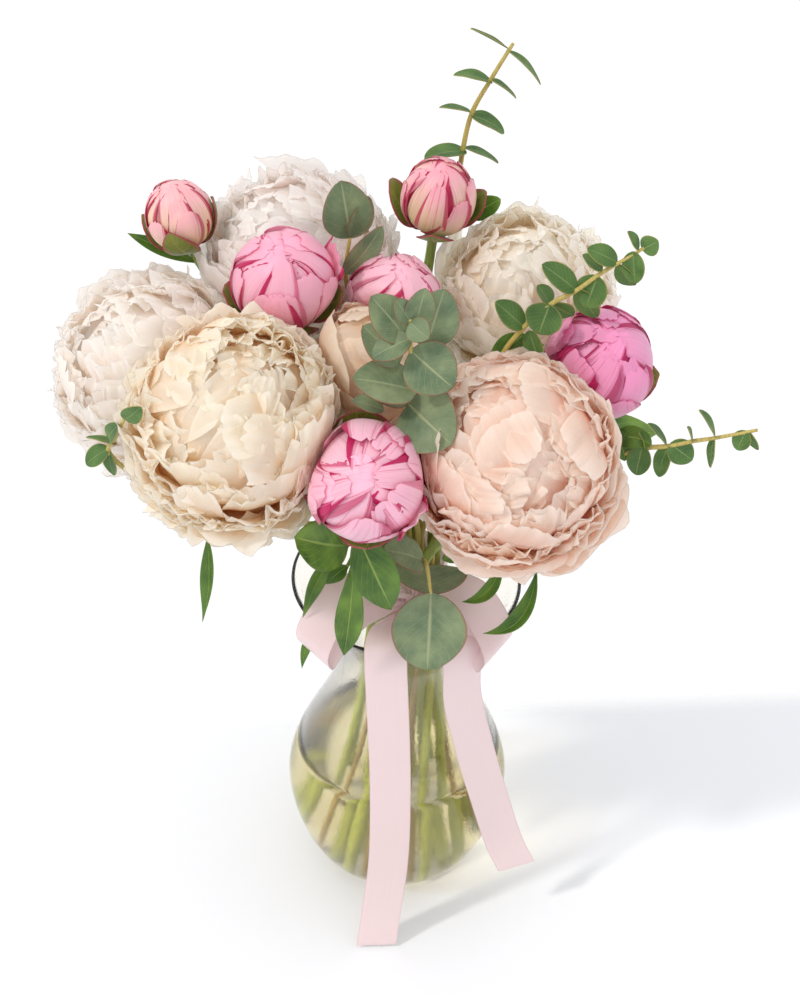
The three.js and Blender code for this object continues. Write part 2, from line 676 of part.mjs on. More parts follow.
const heads = { ...openPeonies, ...peonyBuds };
for (const [name, head] of Object.entries(openPeonies)) {
  head.petals = petalCounts[name] ?? petalCounts.others;
  head.reach = petalReach.open;
}
for (const [name, head] of Object.entries(peonyBuds)) {
  head.tall = drawnOut[name] ?? drawnOut.others;
  head.reach = petalReach.bud;
}
for (const head of Object.values(heads)) {
  head.facing.normalize();
  head.stem = headStem(head);
}
for (const head of Object.values(heads)) head.partings = partings(head, Object.values(heads));
for (const sprig of Object.values(sprigs)) sprig.stem = sprigStemCurve(sprig);

const pieces = new Map(); // name -> { solid, swollen }

function boxesMeet(a, b) {
  const [p, q] = [a.boundingBox(), b.boundingBox()];
  return [0, 1, 2].every((k) => p.min[k] <= q.max[k] && q.min[k] <= p.max[k]);
}

// What already stands keeps its place: a new piece is cut back from it, with the clearance.
function clearOf(solid, ...own) {
  let rest = solid;
  for (const [name, { swollen }] of pieces) {
    if (!own.includes(name) && boxesMeet(rest, swollen)) rest = rest.subtract(swollen);
  }
  return largest(rest);
}

function keep(name, make) {
  pieces.set(name, { solid: make(0), swollen: make(clearance) });
}

keep('vase_glass', vaseSolid);
for (const [name, head] of Object.entries(heads)) keep(`${name}_stem`, (swell) => carrier(head, swell));
for (const [name, sprig] of Object.entries(sprigs)) keep(`sprig_${name}`, (swell) => sprigStem(sprig, swell));
const water = waterSolid([...Object.values(heads), ...Object.values(sprigs)].map(({ stem }) => stem));
pieces.set('water', { solid: water, swollen: water });

keep('ribbon_band', ribbonBand);
keep('ribbon_knot', (swell) => largest(ribbonKnot(swell).subtract(ribbonBand(clearance - swell))));
for (const [name, shape] of Object.entries(strips)) {
  const solid = clearOf(strip(shape), name);
  pieces.set(name, { solid, swollen: clearOf(strip(shape, clearance), name) });
}

for (const [name, head] of Object.entries(heads)) {
  const shape = head.petals ? openPeony : bud;
  const own = `${name}_stem`;
  const solid = clearOf(shape(head), own);
  pieces.set(`${name}_petals`, { solid, swollen: clearOf(shape(head, clearance), own) });
}

function addLeaves(node, leaves, swollenLeaves) {
  const { solid, swollen } = pieces.get(node);
  const grown = leaves.map((one) => clearOf(one, node));
  if (grown.length === 0) return;
  const whole = largest(joined([solid, ...grown]));
  pieces.set(node, { solid: whole, swollen: joined([swollen, ...swollenLeaves]) });
}

for (const [name, head] of Object.entries(heads)) {
  addLeaves(`${name}_stem`, headLeaves(name, head, 0), headLeaves(name, head, clearance));
}
for (const [name, sprig] of Object.entries(sprigs)) {
  addLeaves(`sprig_${name}`, sprigFoliage(sprig, 0), sprigFoliage(sprig, clearance));
}

const group = new THREE.Group();
const looks = {
  vase_glass: ['glass', { roughness: 0.05, transparent: true, opacity: 0.35 }],
  water: ['water', { roughness: 0.05, transparent: true, opacity: 0.45 }],
};

for (const [node, { solid }] of pieces) {
  const stalk = node.endsWith('stem') ? 'stem' : node.replace('_petals', '');
  const ribbon = node.startsWith('ribbon') && ['ribbon', { roughness: 0.35 }];
  const [colour, look] = looks[node] ?? (ribbon || [sprigs[node.replace('sprig_', '')]?.colour ?? stalk, {}]);
  group.add(meshFrom(node, solid, colours[colour], look));
}

export default group;
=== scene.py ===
# Peonies, peony buds and eucalyptus in a clear glass vase of water, their stems tied with a satin ribbon.
# The tables below are in millimetres, and everything that is built from them is in metres.
import math
import random

import bmesh
import bpy
from mathutils import Matrix, Vector, noise
from mathutils.geometry import interpolate_bezier


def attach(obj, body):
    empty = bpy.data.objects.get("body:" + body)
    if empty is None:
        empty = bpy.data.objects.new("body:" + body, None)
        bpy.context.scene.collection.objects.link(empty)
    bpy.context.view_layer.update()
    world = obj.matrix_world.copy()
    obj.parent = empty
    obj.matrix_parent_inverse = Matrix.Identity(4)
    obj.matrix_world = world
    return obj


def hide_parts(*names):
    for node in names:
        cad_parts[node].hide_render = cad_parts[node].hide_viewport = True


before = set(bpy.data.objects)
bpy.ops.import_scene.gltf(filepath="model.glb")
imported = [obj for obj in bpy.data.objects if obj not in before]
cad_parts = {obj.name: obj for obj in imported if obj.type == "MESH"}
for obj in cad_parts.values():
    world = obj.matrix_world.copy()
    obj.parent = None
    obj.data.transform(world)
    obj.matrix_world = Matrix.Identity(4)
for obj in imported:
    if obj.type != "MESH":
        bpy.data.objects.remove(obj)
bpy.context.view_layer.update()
print("frame loaded:", len(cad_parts), "nodes")

mm = 0.001
goldenAngle = math.radians(137.5)
chance = random.Random(11)
scene = bpy.context.scene
scene.view_settings.view_transform = "Standard"
# white petals pass light on many times before it is lost
scene.cycles.max_bounces = 24
scene.cycles.diffuse_bounces = 16
scene.cycles.transparent_max_bounces = 48

# The photograph's viewpoint: far back with a long lens, looking down, tilted a little.
view = {"target": (-6, 0, 295), "distance": 1352, "pitch": 39.7, "tilt": 2.63, "lens": 82.8}


def addCamera():
    pitch = math.radians(view["pitch"])
    tilt = math.radians(view["tilt"])
    forward = Vector((0, math.cos(pitch), -math.sin(pitch)))
    level = Vector((0, math.sin(pitch), math.cos(pitch)))
    right = math.cos(tilt) * Vector((1, 0, 0)) + math.sin(tilt) * level
    camera = bpy.data.objects.new("camera", bpy.data.cameras.new("camera"))
    scene.collection.objects.link(camera)
    camera.data.lens = view["lens"]
    camera.data.sensor_width = 36
    turned = Matrix((right, (-forward).cross(right), -forward)).transposed().to_4x4()
    turned.translation = (Vector(view["target"]) - view["distance"] * forward) * mm
    camera.matrix_world = turned
    scene.camera = camera


addCamera()


# Colours are sRGB hex values, and nodes want them linear.
def linear(hexColour):
    channels = [int(hexColour[i:i + 2], 16) / 255 for i in (0, 2, 4)]
    return [c / 12.92 if c <= 0.04045 else ((c + 0.055) / 1.055) ** 2.4 for c in channels] + [1]


# An input is a socket to link from, a hex colour or a plain value.
def addNode(tree, kind, inputs, out=0, **settings):
    node = tree.nodes.new("ShaderNode" + kind)
    for key, value in settings.items():
        setattr(node, key, value)
    for socket, value in inputs.items():
        if isinstance(value, bpy.types.NodeSocket):
            tree.links.new(value, node.inputs[socket])
        else:
            node.inputs[socket].default_value = linear(value) if isinstance(value, str) else value
    return node.outputs[out] if node.outputs else None


def newMaterial(name):
    material = bpy.data.materials.new(name)
    material.use_nodes = True
    material.node_tree.nodes.clear()
    return material, material.node_tree


# Where a point lies on its petal or leaf: the place as a whole, how far it is from the middle towards a side,
# how far along from root to tip, and which petal or leaf it is.
def placeOn(tree):
    place = addNode(tree, "Attribute", {}, "Vector", attribute_name="place")
    across, along, which = [addNode(tree, "SeparateXYZ", {0: place}, axis) for axis in (0, 1, 2)]
    return place, addNode(tree, "Math", {0: across}, operation="ABSOLUTE"), along, which


lights = {
    "sunAngle": 5, "sunPower": 1.05, "sunTravel": (0.597, 0.331, -0.731), "sunColour": "FFFAF3",
    "surround": "FFFFFF", "surroundPower": 1.04, "horizon": "F0F0F2",
}


def addLights():
    sun = bpy.data.objects.new("sun", bpy.data.lights.new("sun", "SUN"))
    scene.collection.objects.link(sun)
    sun.data.energy = lights["sunPower"]
    sun.data.angle = math.radians(lights["sunAngle"])
    sun.data.color = linear(lights["sunColour"])[:3]
    sun.rotation_mode = "QUATERNION"
    sun.rotation_quaternion = Vector(lights["sunTravel"]).to_track_quat("-Z", "Y")
    world = bpy.data.worlds.new("studio")
    world.use_nodes = True
    scene.world = world
    tree = world.node_tree
    tree.nodes.clear()
    ray = addNode(tree, "TexCoord", {}, "Generated")
    height = addNode(tree, "SeparateXYZ", {0: ray}, 2)
    rise = addNode(tree, "MapRange", {0: height, 1: 0.05, 2: 0.6})
    colour = addNode(tree, "MixRGB", {0: rise, 1: lights["horizon"], 2: lights["surround"]})
    # below the table's level the backdrop is lit as bright as the sky
    fall = addNode(tree, "MapRange", {0: height, 1: -0.05, 2: -0.3})
    colour = addNode(tree, "MixRGB", {0: fall, 1: colour, 2: lights["surround"]})
    glow = addNode(tree, "Background", {0: colour, 1: lights["surroundPower"]})
    addNode(tree, "OutputWorld", {0: glow})


addLights()


# White studio table: painted board, matt, lit almost to white. It fades out a hand behind the vase, between
# two distances in metres along a line that leads away from the viewer.
table = {"size": 4, "colour": "F1F3F8", "roughness": 0.9, "shine": 0.1, "away": (-0.12, 1, 0),
         "fades": (0.106, 0.134)}


def addFloor():
    bm = bmesh.new()
    bmesh.ops.create_grid(bm, x_segments=1, y_segments=1, size=table["size"])
    mesh = bpy.data.meshes.new("floor")
    bm.to_mesh(mesh)
    bm.free()
    floor = bpy.data.objects.new("floor", mesh)
    scene.collection.objects.link(floor)
    material, tree = newMaterial("matt white board")
    board = addNode(tree, "BsdfPrincipled", {"Base Color": table["colour"], "Roughness": table["roughness"],
                                             "Specular IOR Level": table["shine"]})
    where = addNode(tree, "TexCoord", {}, "Object")
    back = addNode(tree, "VectorMath", {0: where, 1: table["away"]}, "Value", operation="DOT_PRODUCT")
    starts, stops = table["fades"]
    ended = addNode(tree, "MapRange", {0: back, 1: starts, 2: stops}, interpolation_type="SMOOTHSTEP")
    beyond = addNode(tree, "BsdfTransparent", {})
    addNode(tree, "OutputMaterial", {0: addNode(tree, "MixShader", {0: ended, 1: board, 2: beyond})})
    mesh.materials.append(material)


addFloor()
print("camera, lights and floor made")


# Lays a tint over a colour where a value runs from low to high, weak at first and strong at last.
def tinted(tree, colour, tint, value, low, high, first=0.0, last=1.0):
    share = addNode(tree, "MapRange", {0: value, 1: low, 2: high, 3: first, 4: last})
    return addNode(tree, "MixRGB", {0: share, 1: colour, 2: tint})


# A thin wall scatters light once, at the face it enters by, and lets it leave freely by the other. A share of
# the light goes through it, and its relief is some height map pressed a few tenths of a millimetre deep.
def finishThin(tree, share, colour, height, strength, depth, surface):
    relief = addNode(tree, "Bump", {"Strength": strength, "Distance": depth * mm, "Height": height})
    skin = addNode(tree, "BsdfPrincipled", {"Base Color": colour, "Normal": relief, **surface})
    through = addNode(tree, "BsdfTranslucent", {"Color": colour, "Normal": relief})
    entered = addNode(tree, "MixShader", {0: share, 1: skin, 2: through})
    inside = addNode(tree, "NewGeometry", {}, "Backfacing")
    free = addNode(tree, "BsdfTransparent", {})
    addNode(tree, "OutputMaterial", {0: addNode(tree, "MixShader", {0: inside, 1: entered, 2: free})})


# Fresh petals: living tissue a third of a millimetre thick, matt, with fine veins from root to edge.
# Half the light goes through, so folds glow. The stronger colour towards each petal's root, deep between the
# others, is partly the petal's own warmer base and partly painted crevice shade.
def petalMaterial(name, edge, body, deep, blush):
    material, tree = newMaterial(name)
    place, _, along, which = placeOn(tree)
    # towards the root, where petals lie deep under one another, the colour turns to the deep one: partly
    # their warmer base, partly painted shade
    colour = tinted(tree, deep, body, along, 0.2, 0.72)
    colour = tinted(tree, colour, blush, which, 0.45, 1.0, last=0.7)
    # the tips, which form the head's outer surface, pale towards the edge colour: partly paler rims, partly
    # painted highlight where light catches them
    colour = tinted(tree, colour, edge, along, 0.8, 1.0, last=0.7)
    # some 20 veins across a petal, wavering only slowly along it
    spread = addNode(tree, "Mapping", {0: place, 3: (10, 1.2, 35)})
    veins = addNode(tree, "TexNoise", {"Vector": spread, "Scale": 1.0, "Detail": 3.0})
    colour = tinted(tree, colour, deep, veins, 0.4, 0.75, last=0.12)
    where = addNode(tree, "TexCoord", {}, "Object")
    crumple = addNode(tree, "TexNoise", {"Vector": where, "Scale": 190.0, "Detail": 2.0})
    both = addNode(tree, "Math", {0: veins, 1: crumple}, operation="ADD")
    finishThin(tree, 0.5, colour, both, 0.4, 0.8, {"Roughness": 0.6, "Specular IOR Level": 0.25})
    return material


# Bud petals: thicker and smoother, with a wax sheen, pink with crimson flames at their sides.
def budMaterial(name, face, shade, flame, base, flames=0.5, rise=0.45):
    material, tree = newMaterial(name)
    place, side, along, which = placeOn(tree)
    # some 20 streaks across a petal, each nearly as long as it
    spread = addNode(tree, "Mapping", {0: place, 3: (11, 0.9, 23)})
    streaks = addNode(tree, "TexNoise", {"Vector": spread, "Scale": 1.0, "Detail": 4.0, "Roughness": 0.65})
    colour = tinted(tree, face, shade, streaks, 0.3, 0.75)
    colour = tinted(tree, colour, shade, along, 0.65, 1.0, last=0.75)
    colour = tinted(tree, colour, base, along, rise * 0.3, rise, first=0.9, last=0.0)
    aside = addNode(tree, "MapRange", {0: side, 1: 0.5, 2: 1.0, 3: -0.3, 4: 0.42})
    flamed = addNode(tree, "Math", {0: aside, 1: streaks}, operation="ADD")
    flamed = addNode(tree, "MapRange", {0: flamed, 1: 0.96 - flames, 2: 1.16 - flames})
    some = addNode(tree, "MapRange", {0: which, 1: 0.1, 2: 0.5, 3: 0.5, 4: 1.0})
    flamed = addNode(tree, "Math", {0: flamed, 1: some}, operation="MULTIPLY")
    colour = addNode(tree, "MixRGB", {0: flamed, 1: colour, 2: flame})
    waxed = {"Roughness": 0.42, "Sheen Weight": 0.15, "Specular IOR Level": 0.4}
    finishThin(tree, 0.2, colour, streaks, 0.3, 0.5, waxed)
    return material


# Leaves: tough waxed tissue with a pale midrib and side veins that press into the upper face.
def leafMaterial(name, face, shade, vein, rim, veins=9, slant=2.4, gloss=0.38, bloom=0.0, rimWidth=0.07):
    material, tree = newMaterial(name)
    _, side, along, which = placeOn(tree)
    where = addNode(tree, "TexCoord", {}, "Object")
    blotches = addNode(tree, "TexNoise", {"Vector": where, "Scale": 70.0, "Detail": 4.0})
    colour = tinted(tree, face, shade, blotches, 0.3, 0.7)
    colour = tinted(tree, colour, shade, which, 0.0, 1.0, last=0.45)
    midrib = addNode(tree, "MapRange", {0: side, 1: 0.02, 2: 0.07, 3: 1.0, 4: 0.0})
    count = addNode(tree, "Math", {0: along, 1: float(veins)}, operation="MULTIPLY")
    sloped = addNode(tree, "Math", {0: side, 1: -slant, 2: count}, operation="MULTIPLY_ADD")
    ripple = addNode(tree, "Math", {0: sloped, 1: 0.5}, operation="PINGPONG")
    sideVein = addNode(tree, "MapRange", {0: ripple, 1: 0.0, 2: 0.075, 3: 0.5, 4: 0.0})
    lines = addNode(tree, "Math", {0: midrib, 1: sideVein}, operation="MAXIMUM")
    weight = addNode(tree, "Math", {0: lines, 1: 0.62}, operation="MULTIPLY")
    colour = addNode(tree, "MixRGB", {0: weight, 1: colour, 2: vein})
    # oil glands, a third of a millimetre apart in life, drawn at half a millimetre so that they show
    dots = addNode(tree, "TexNoise", {"Vector": where, "Scale": 1900.0, "Detail": 1.0})
    colour = tinted(tree, colour, vein, dots, 0.5, 0.75, last=bloom)
    colour = tinted(tree, colour, rim, side, 1 - rimWidth, 1.0, last=0.9)
    pressed = addNode(tree, "Math", {0: blotches, 1: lines}, operation="SUBTRACT")
    finishThin(tree, 0.22, colour, pressed, 0.5, 0.7, {"Roughness": gloss, "Specular IOR Level": 0.45})
    return material


# Green or woody stems: a ribbed skin, the fibres running lengthwise, its colour changing above the binding.
def stemMaterial(name, low, high, scar):
    material, tree = newMaterial(name)
    where = addNode(tree, "TexCoord", {}, "Object")
    height = addNode(tree, "SeparateXYZ", {0: where}, 2)
    colour = tinted(tree, low, high, height, 0.16, 0.30)
    # fibres about a millimetre apart and some 20 mm long
    drawn = addNode(tree, "Mapping", {0: where, 3: (900, 900, 50)})
    fibres = addNode(tree, "TexNoise", {"Vector": drawn, "Scale": 1.0, "Detail": 3.0})
    colour = tinted(tree, colour, scar, fibres, 0.42, 0.75, last=0.5)
    relief = addNode(tree, "Bump", {"Strength": 0.5, "Distance": 0.5 * mm, "Height": fibres})
    skin = addNode(tree, "BsdfPrincipled", {"Base Color": colour, "Roughness": 0.45, "Normal": relief})
    addNode(tree, "OutputMaterial", {0: skin})
    return material


# Satin ribbon: floating polyester threads give the broad soft highlight across the folds.
def satinMaterial():
    material, tree = newMaterial("pale pink satin")
    place, side, *_ = placeOn(tree)
    # threads 0.2 mm apart in life, drawn half a millimetre apart so that they show
    drawn = addNode(tree, "Mapping", {0: place, 3: (25, 3, 1)})
    threads = addNode(tree, "TexNoise", {"Vector": drawn, "Scale": 1.0, "Detail": 2.0})
    colour = tinted(tree, "F0D9DA", "E5C6C9", threads, 0.35, 0.65, last=0.12)
    # the woven edge on either side
    colour = tinted(tree, colour, "D8B0B4", side, 0.955, 0.985, last=0.55)
    cloth = {"Roughness": 0.27, "Specular IOR Level": 0.9, "Anisotropic": 0.6, "Sheen Weight": 0.25,
             "Sheen Roughness": 0.35}
    finishThin(tree, 0.2, colour, threads, 0.12, 0.3, cloth)
    return material


# Clear things let most light through to what they shade, which a traced shadow would not show.
def clearMaterial(name, tint, index, shadow, dew):
    material, tree = newMaterial(name)
    where = addNode(tree, "TexCoord", {}, "Object")
    # droplets of a millimetre or two haze the wall in patches
    drops = addNode(tree, "TexNoise", {"Vector": where, "Scale": 700.0, "Detail": 2.0})
    haze = addNode(tree, "MapRange", {0: drops, 1: 0.5, 2: 0.7, 3: 0.0, 4: dew})
    relief = addNode(tree, "Bump", {"Strength": dew, "Distance": 0.4 * mm, "Height": drops})
    body = addNode(tree, "BsdfPrincipled", {"Base Color": tint, "Roughness": haze, "IOR": index,
                                            "Transmission Weight": 1.0, "Normal": relief})
    passed = addNode(tree, "BsdfTransparent", {0: shadow})
    shaded = addNode(tree, "LightPath", {}, "Is Shadow Ray")
    addNode(tree, "OutputMaterial", {0: addNode(tree, "MixShader", {0: shaded, 1: body, 2: passed})})
    return material


materials = {
    "glass": clearMaterial("clear soda glass", "FEFBF4", 1.5, "F4F3F1", 0.14),
    "water": clearMaterial("vase water", "F7F1CA", 1.33, "F8F6EE", 0.0),
    "satin": satinMaterial(),
    "stem": stemMaterial("peony stem skin", "B9C45C", "7E9142", "5C6B2A"),
    "twig": stemMaterial("eucalyptus twig bark", "B09A58", "C2B060", "80683C"),
    "peonyLeaf": leafMaterial("peony leaf", "769A3A", "385F22", "A8BE62", "5C7E30", veins=7, slant=3.2,
                               gloss=0.3),
    "sepal": leafMaterial("peony sepal", "8E9A45", "6F8136", "B8B36A", "B0405A", veins=4, slant=1.0,
                          rimWidth=0.3),
    "gumLeaf": leafMaterial("green eucalyptus leaf", "6C9048", "3D6330", "98AE70", "A09A58", veins=8,
                            gloss=0.5, bloom=0.12),
    "greyGumLeaf": leafMaterial("grey eucalyptus leaf with wax bloom", "98A67C", "5C7557", "B4BC92",
                                "9A6A55", veins=8, slant=2.8, gloss=0.5, bloom=0.2),
}
petalColours = {
    "left_blush": petalMaterial("blush white peony petal", "FFFDFA", "FEFBF7", "FDF4EA", "FEF6F0"),
    "back_blush": petalMaterial("rosy white peony petal", "FFFDFC", "FEFCFA", "FDF5EF", "FEF6F2"),
    "front_cream": petalMaterial("cream peony petal", "FEFBF2", "FDF8EB", "F9D090", "FCF1E3"),
    "middle_cream": petalMaterial("deep cream peony petal", "FBF3E6", "FAEDDB", "EEC592", "FAE8D8"),
    "right_white": petalMaterial("ivory peony petal", "FEFCF8", "FEFBF4", "FBEBD0", "FDF7ED"),
    "front_peach": petalMaterial("peach blush peony petal", "FEF8F0", "FCEFE3", "F7B28C", "FBE2D2"),
}
budColours = {
    "left": budMaterial("coral bud petal", "FEE2DC", "FCB8C2", "B81C4C", "EAD68C", 0.56, rise=0.85),
    "large_pink": budMaterial("rose pink bud petal", "FCC8DA", "F9B2CC", "C4145E", "F4ACB8", 0.48),
    "pale": budMaterial("pale pink bud petal", "FCD2DF", "F9BFD2", "C0165C", "F4B6C0", 0.50),
    "tulip": budMaterial("cream and pink bud petal", "FDEAD8", "FAA4BE", "C22054", "E2D68C", 0.66, rise=0.85),
    "vivid_right": budMaterial("vivid pink bud petal", "F9B2D6", "F59AC8", "B50E5C", "F2A2AC", 0.68),
    "striped_front": budMaterial("striped pink bud petal", "FDD4E3", "FBBCD3", "C2125F", "F2C0BA", 0.70),
}
print("materials made:", len(bpy.data.materials))


def newShape():
    bm = bmesh.new()
    bm.verts.layers.float_vector.new("place")
    return bm


# A grid whose points are set by a rule from across (-1 to 1) and along (0 to 1).
def addSurface(bm, columns, rows, rule, which=0.0):
    placeLayer = bm.verts.layers.float_vector["place"]
    made = bmesh.ops.create_grid(bm, x_segments=columns, y_segments=rows, size=1)["verts"]
    for vert in made:
        across, along = vert.co.x, (vert.co.y + 1) / 2
        vert.co = rule(across, along) * mm
        vert[placeLayer] = (across, along, which)
    return made


# A round rod along a list of points, its radius given by a rule of the share of its length.
def addRod(bm, path, radiusOf, sides):
    last = len(path) - 1
    tangents = [(path[min(i + 1, last)] - path[max(i - 1, 0)]).normalized() for i in range(len(path))]
    across = tangents[0].orthogonal().normalized()
    frames = []
    for tangent in tangents:
        across = (across - tangent * across.dot(tangent)).normalized()
        frames.append((across, tangent.cross(across)))

    def rule(u, v):
        ring = round(v * last)
        angle = math.pi * u
        x, y = frames[ring]
        return path[ring] + (x * math.cos(angle) + y * math.sin(angle)) * radiusOf(v)

    made = addSurface(bm, sides, last, rule)
    bmesh.ops.remove_doubles(bm, verts=made, dist=1e-6)
    rod = set(made)
    rims = [edge for edge in bm.edges if edge.is_boundary and edge.verts[0] in rod]
    bmesh.ops.holes_fill(bm, edges=[edge for edge in rims if edge.is_valid], sides=0)


def addPiece(bm, name, material, nodes, thickness=0.0):
    mesh = bpy.data.meshes.new(name)
    bm.to_mesh(mesh)
    bm.free()
    mesh.polygons.foreach_set("use_smooth", [True] * len(mesh.polygons))
    mesh.materials.append(material)
    piece = bpy.data.objects.new(name, mesh)
    scene.collection.objects.link(piece)
    if thickness:
        wall = piece.modifiers.new("wall", "SOLIDIFY")
        wall.thickness = thickness * mm
        wall.offset = 0
        # keeps the thin rim from bending the shading of the faces beside it
        even = piece.modifiers.new("even", "WEIGHTED_NORMAL")
        even.weight = 100
    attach(piece, "root")
    if nodes:
        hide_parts(*nodes)
    return piece


# A clear vase with a pear-shaped bulb, and the height of the water in it. Its wall and floor are guessed.
vase = {
    "height": 235, "bulbRadius": 70, "bulbHeight": 71, "baseRadius": 35, "neckRadius": 40, "neckHeight": 174,
    "rimRadius": 69.5, "bulbRound": 1.65, "neckBend": 0.92, "flareBend": 1.9, "wall": 3, "thinner": 0.8,
    "rimWall": 2.2, "rimSteps": 8, "floor": 6, "sides": 144, "levels": 60, "water": 99, "pressed": 0.4,
}


def vaseRadius(z):
    bulb, neck, rim = vase["bulbRadius"], vase["neckRadius"], vase["rimRadius"]
    if z <= vase["bulbHeight"]:
        drop = ((vase["bulbHeight"] - z) / vase["bulbHeight"]) ** vase["bulbRound"]
        return vase["baseRadius"] + (bulb - vase["baseRadius"]) * (1 - drop) ** (1 / vase["bulbRound"])
    if z <= vase["neckHeight"]:
        rise = ((z - vase["bulbHeight"]) / (vase["neckHeight"] - vase["bulbHeight"])) ** vase["neckBend"]
        return neck + (bulb - neck) * (0.5 + 0.5 * math.cos(math.pi * rise))
    flare = ((z - vase["neckHeight"]) / (vase["height"] - vase["neckHeight"])) ** vase["flareBend"]
    return neck + (rim - neck) * flare


def spun(profile, sides):
    bm = newShape()
    corners = [bm.verts.new((r * mm, 0, z * mm)) for r, z in profile]
    edges = [bm.edges.new(pair) for pair in zip(corners, corners[1:])]
    bmesh.ops.spin(bm, geom=corners + edges, cent=(0, 0, 0), axis=(0, 0, 1), dvec=(0, 0, 0),
                   angle=2 * math.pi, steps=sides, use_merge=True)
    bmesh.ops.remove_doubles(bm, verts=bm.verts, dist=1e-6)
    bmesh.ops.recalc_face_normals(bm, faces=bm.faces)
    return bm


def addVase():
    top, floor, water = vase["height"], vase["floor"], vase["water"]
    heights = [top * (i / vase["levels"]) ** 1.1 for i in range(1, vase["levels"])]
    outside = [(0, 0), (vase["baseRadius"] - 2, 0)] + [(vaseRadius(z), z) for z in heights]
    middle = vase["rimRadius"] - vase["rimWall"] / 2
    rimAngles = [math.pi * k / vase["rimSteps"] for k in range(vase["rimSteps"] + 1)]
    rim = [(middle + vase["rimWall"] / 2 * math.cos(a), top - 1 + math.sin(a)) for a in rimAngles]
    upper = [z for z in reversed(heights) if z > floor + 3]
    wall = [(vaseRadius(z) - vase["wall"] + vase["thinner"] * (z / top) ** 3, z) for z in upper]
    inside = wall + [(vase["baseRadius"] + 3, floor + 0.6), (0, floor)]
    addPiece(spun(outside + rim + inside, vase["sides"]), "vase", materials["glass"], ["vase_glass"])
    # the water presses a hair into the glass, so that no film of air shows between them
    wet = [z for z in heights if floor + 3 < z < water - 3]
    edge = vaseRadius(water) - vase["wall"] + vase["pressed"]
    body = [(0, floor - vase["pressed"]), (vase["baseRadius"] + 3, floor + 0.2)]
    body += [(vaseRadius(z) - vase["wall"] + vase["pressed"], z) for z in wet]
    # it climbs the glass a little at its edge
    body += [(edge, water + 1.2), (edge - 1.0, water + 0.4), (edge - 2.6, water), (0, water)]
    addPiece(spun(body, vase["sides"]), "vase_water", materials["water"], ["water"])


addVase()
print("vase and water made")

binding = {"height": 253, "spacing": 8.5, "twist": 0.0093}
stemRadius = {"peony": 3.3, "bud": 2.9, "sprig": 1.7}


# Stems stand straight from the vase's floor to the binding, and bend outwards only above it.
def straightPart(ring, slot):
    angle = 2 * math.pi * slot / (6 * ring) if ring else 0
    start = Vector((ring * binding["spacing"] * math.cos(angle), ring * binding["spacing"] * math.sin(angle),
                    binding["height"]))
    lean = Vector((-start.y * binding["twist"], start.x * binding["twist"], 1))
    foot = start + lean * (vase["floor"] + 2 + 2 * ring - binding["height"])
    return foot, start, lean


# Centripetal spline: an even smooth line through points that stand unevenly far apart.
def smoothLine(points, stepsEach):
    points = [Vector(p) for p in points]
    points = [2 * points[0] - points[1]] + points + [2 * points[-1] - points[-2]]
    line = []
    for a, b, c, d in zip(points, points[1:], points[2:], points[3:]):
        t1 = (b - a).length ** 0.5
        t2 = t1 + (c - b).length ** 0.5
        t3 = t2 + (d - c).length ** 0.5
        for step in range(stepsEach):
            t = t1 + (t2 - t1) * step / stepsEach
            ab = a + (b - a) * (t / t1)
            bc = b + (c - b) * ((t - t1) / (t2 - t1))
            cd = c + (d - c) * ((t - t2) / (t3 - t2))
            first = ab + (bc - ab) * (t / t2)
            second = bc + (cd - bc) * ((t - t1) / (t3 - t1))
            line.append(first + (second - first) * ((t - t1) / (t2 - t1)))
    return line + [points[-2]]


def straightLine(start, end, steps):
    return [start + (end - start) * (k / steps) for k in range(steps)]


def alongLine(line, share):
    spot = min(share, 0.9999) * (len(line) - 1)
    k = int(spot)
    here = line[k].lerp(line[k + 1], spot - k)
    return here, (line[k + 1] - line[k]).normalized()


# A leaf whose rib runs root - belly - tip. A full outline is round, a lean one pointed.
def addLeaf(bm, root, belly, tip, width, side, widest=0.45, cup=0.16, fold=0.1, full=1.0, wave=0.0, curl=0.0,
            columns=10, rows=18):
    root, belly, tip, side = Vector(root), Vector(belly), Vector(tip), Vector(side)
    which = chance.random()
    power = math.log(0.5) / math.log(widest)
    phase = chance.uniform(0, 6)
    length = (belly - root).length + (tip - belly).length

    def rule(u, v):
        here = root * (1 - v) ** 2 + belly * 2 * v * (1 - v) + tip * v * v
        along = ((belly - root) * (1 - v) + (tip - belly) * v).normalized()
        turned = Matrix.Rotation(curl * v, 3, along) @ side
        across = (turned - along * turned.dot(along)).normalized()
        face = across.cross(along)
        swing = math.sin(math.pi * min(1, v) ** power) ** full
        half = width / 2 * max(0.06 * (1 - v) + 0.012, swing)
        ripple = wave * width * math.sin(9 * v + phase + 1.5 * u) * u * u
        rise = half * (cup * (u * u - 0.3) + fold * (abs(u) - 0.5)) + ripple
        bow = 0.03 * length * u * u * swing
        return here + across * (u * half) + face * rise + along * bow * 0.4

    addSurface(bm, columns, rows, rule, which)


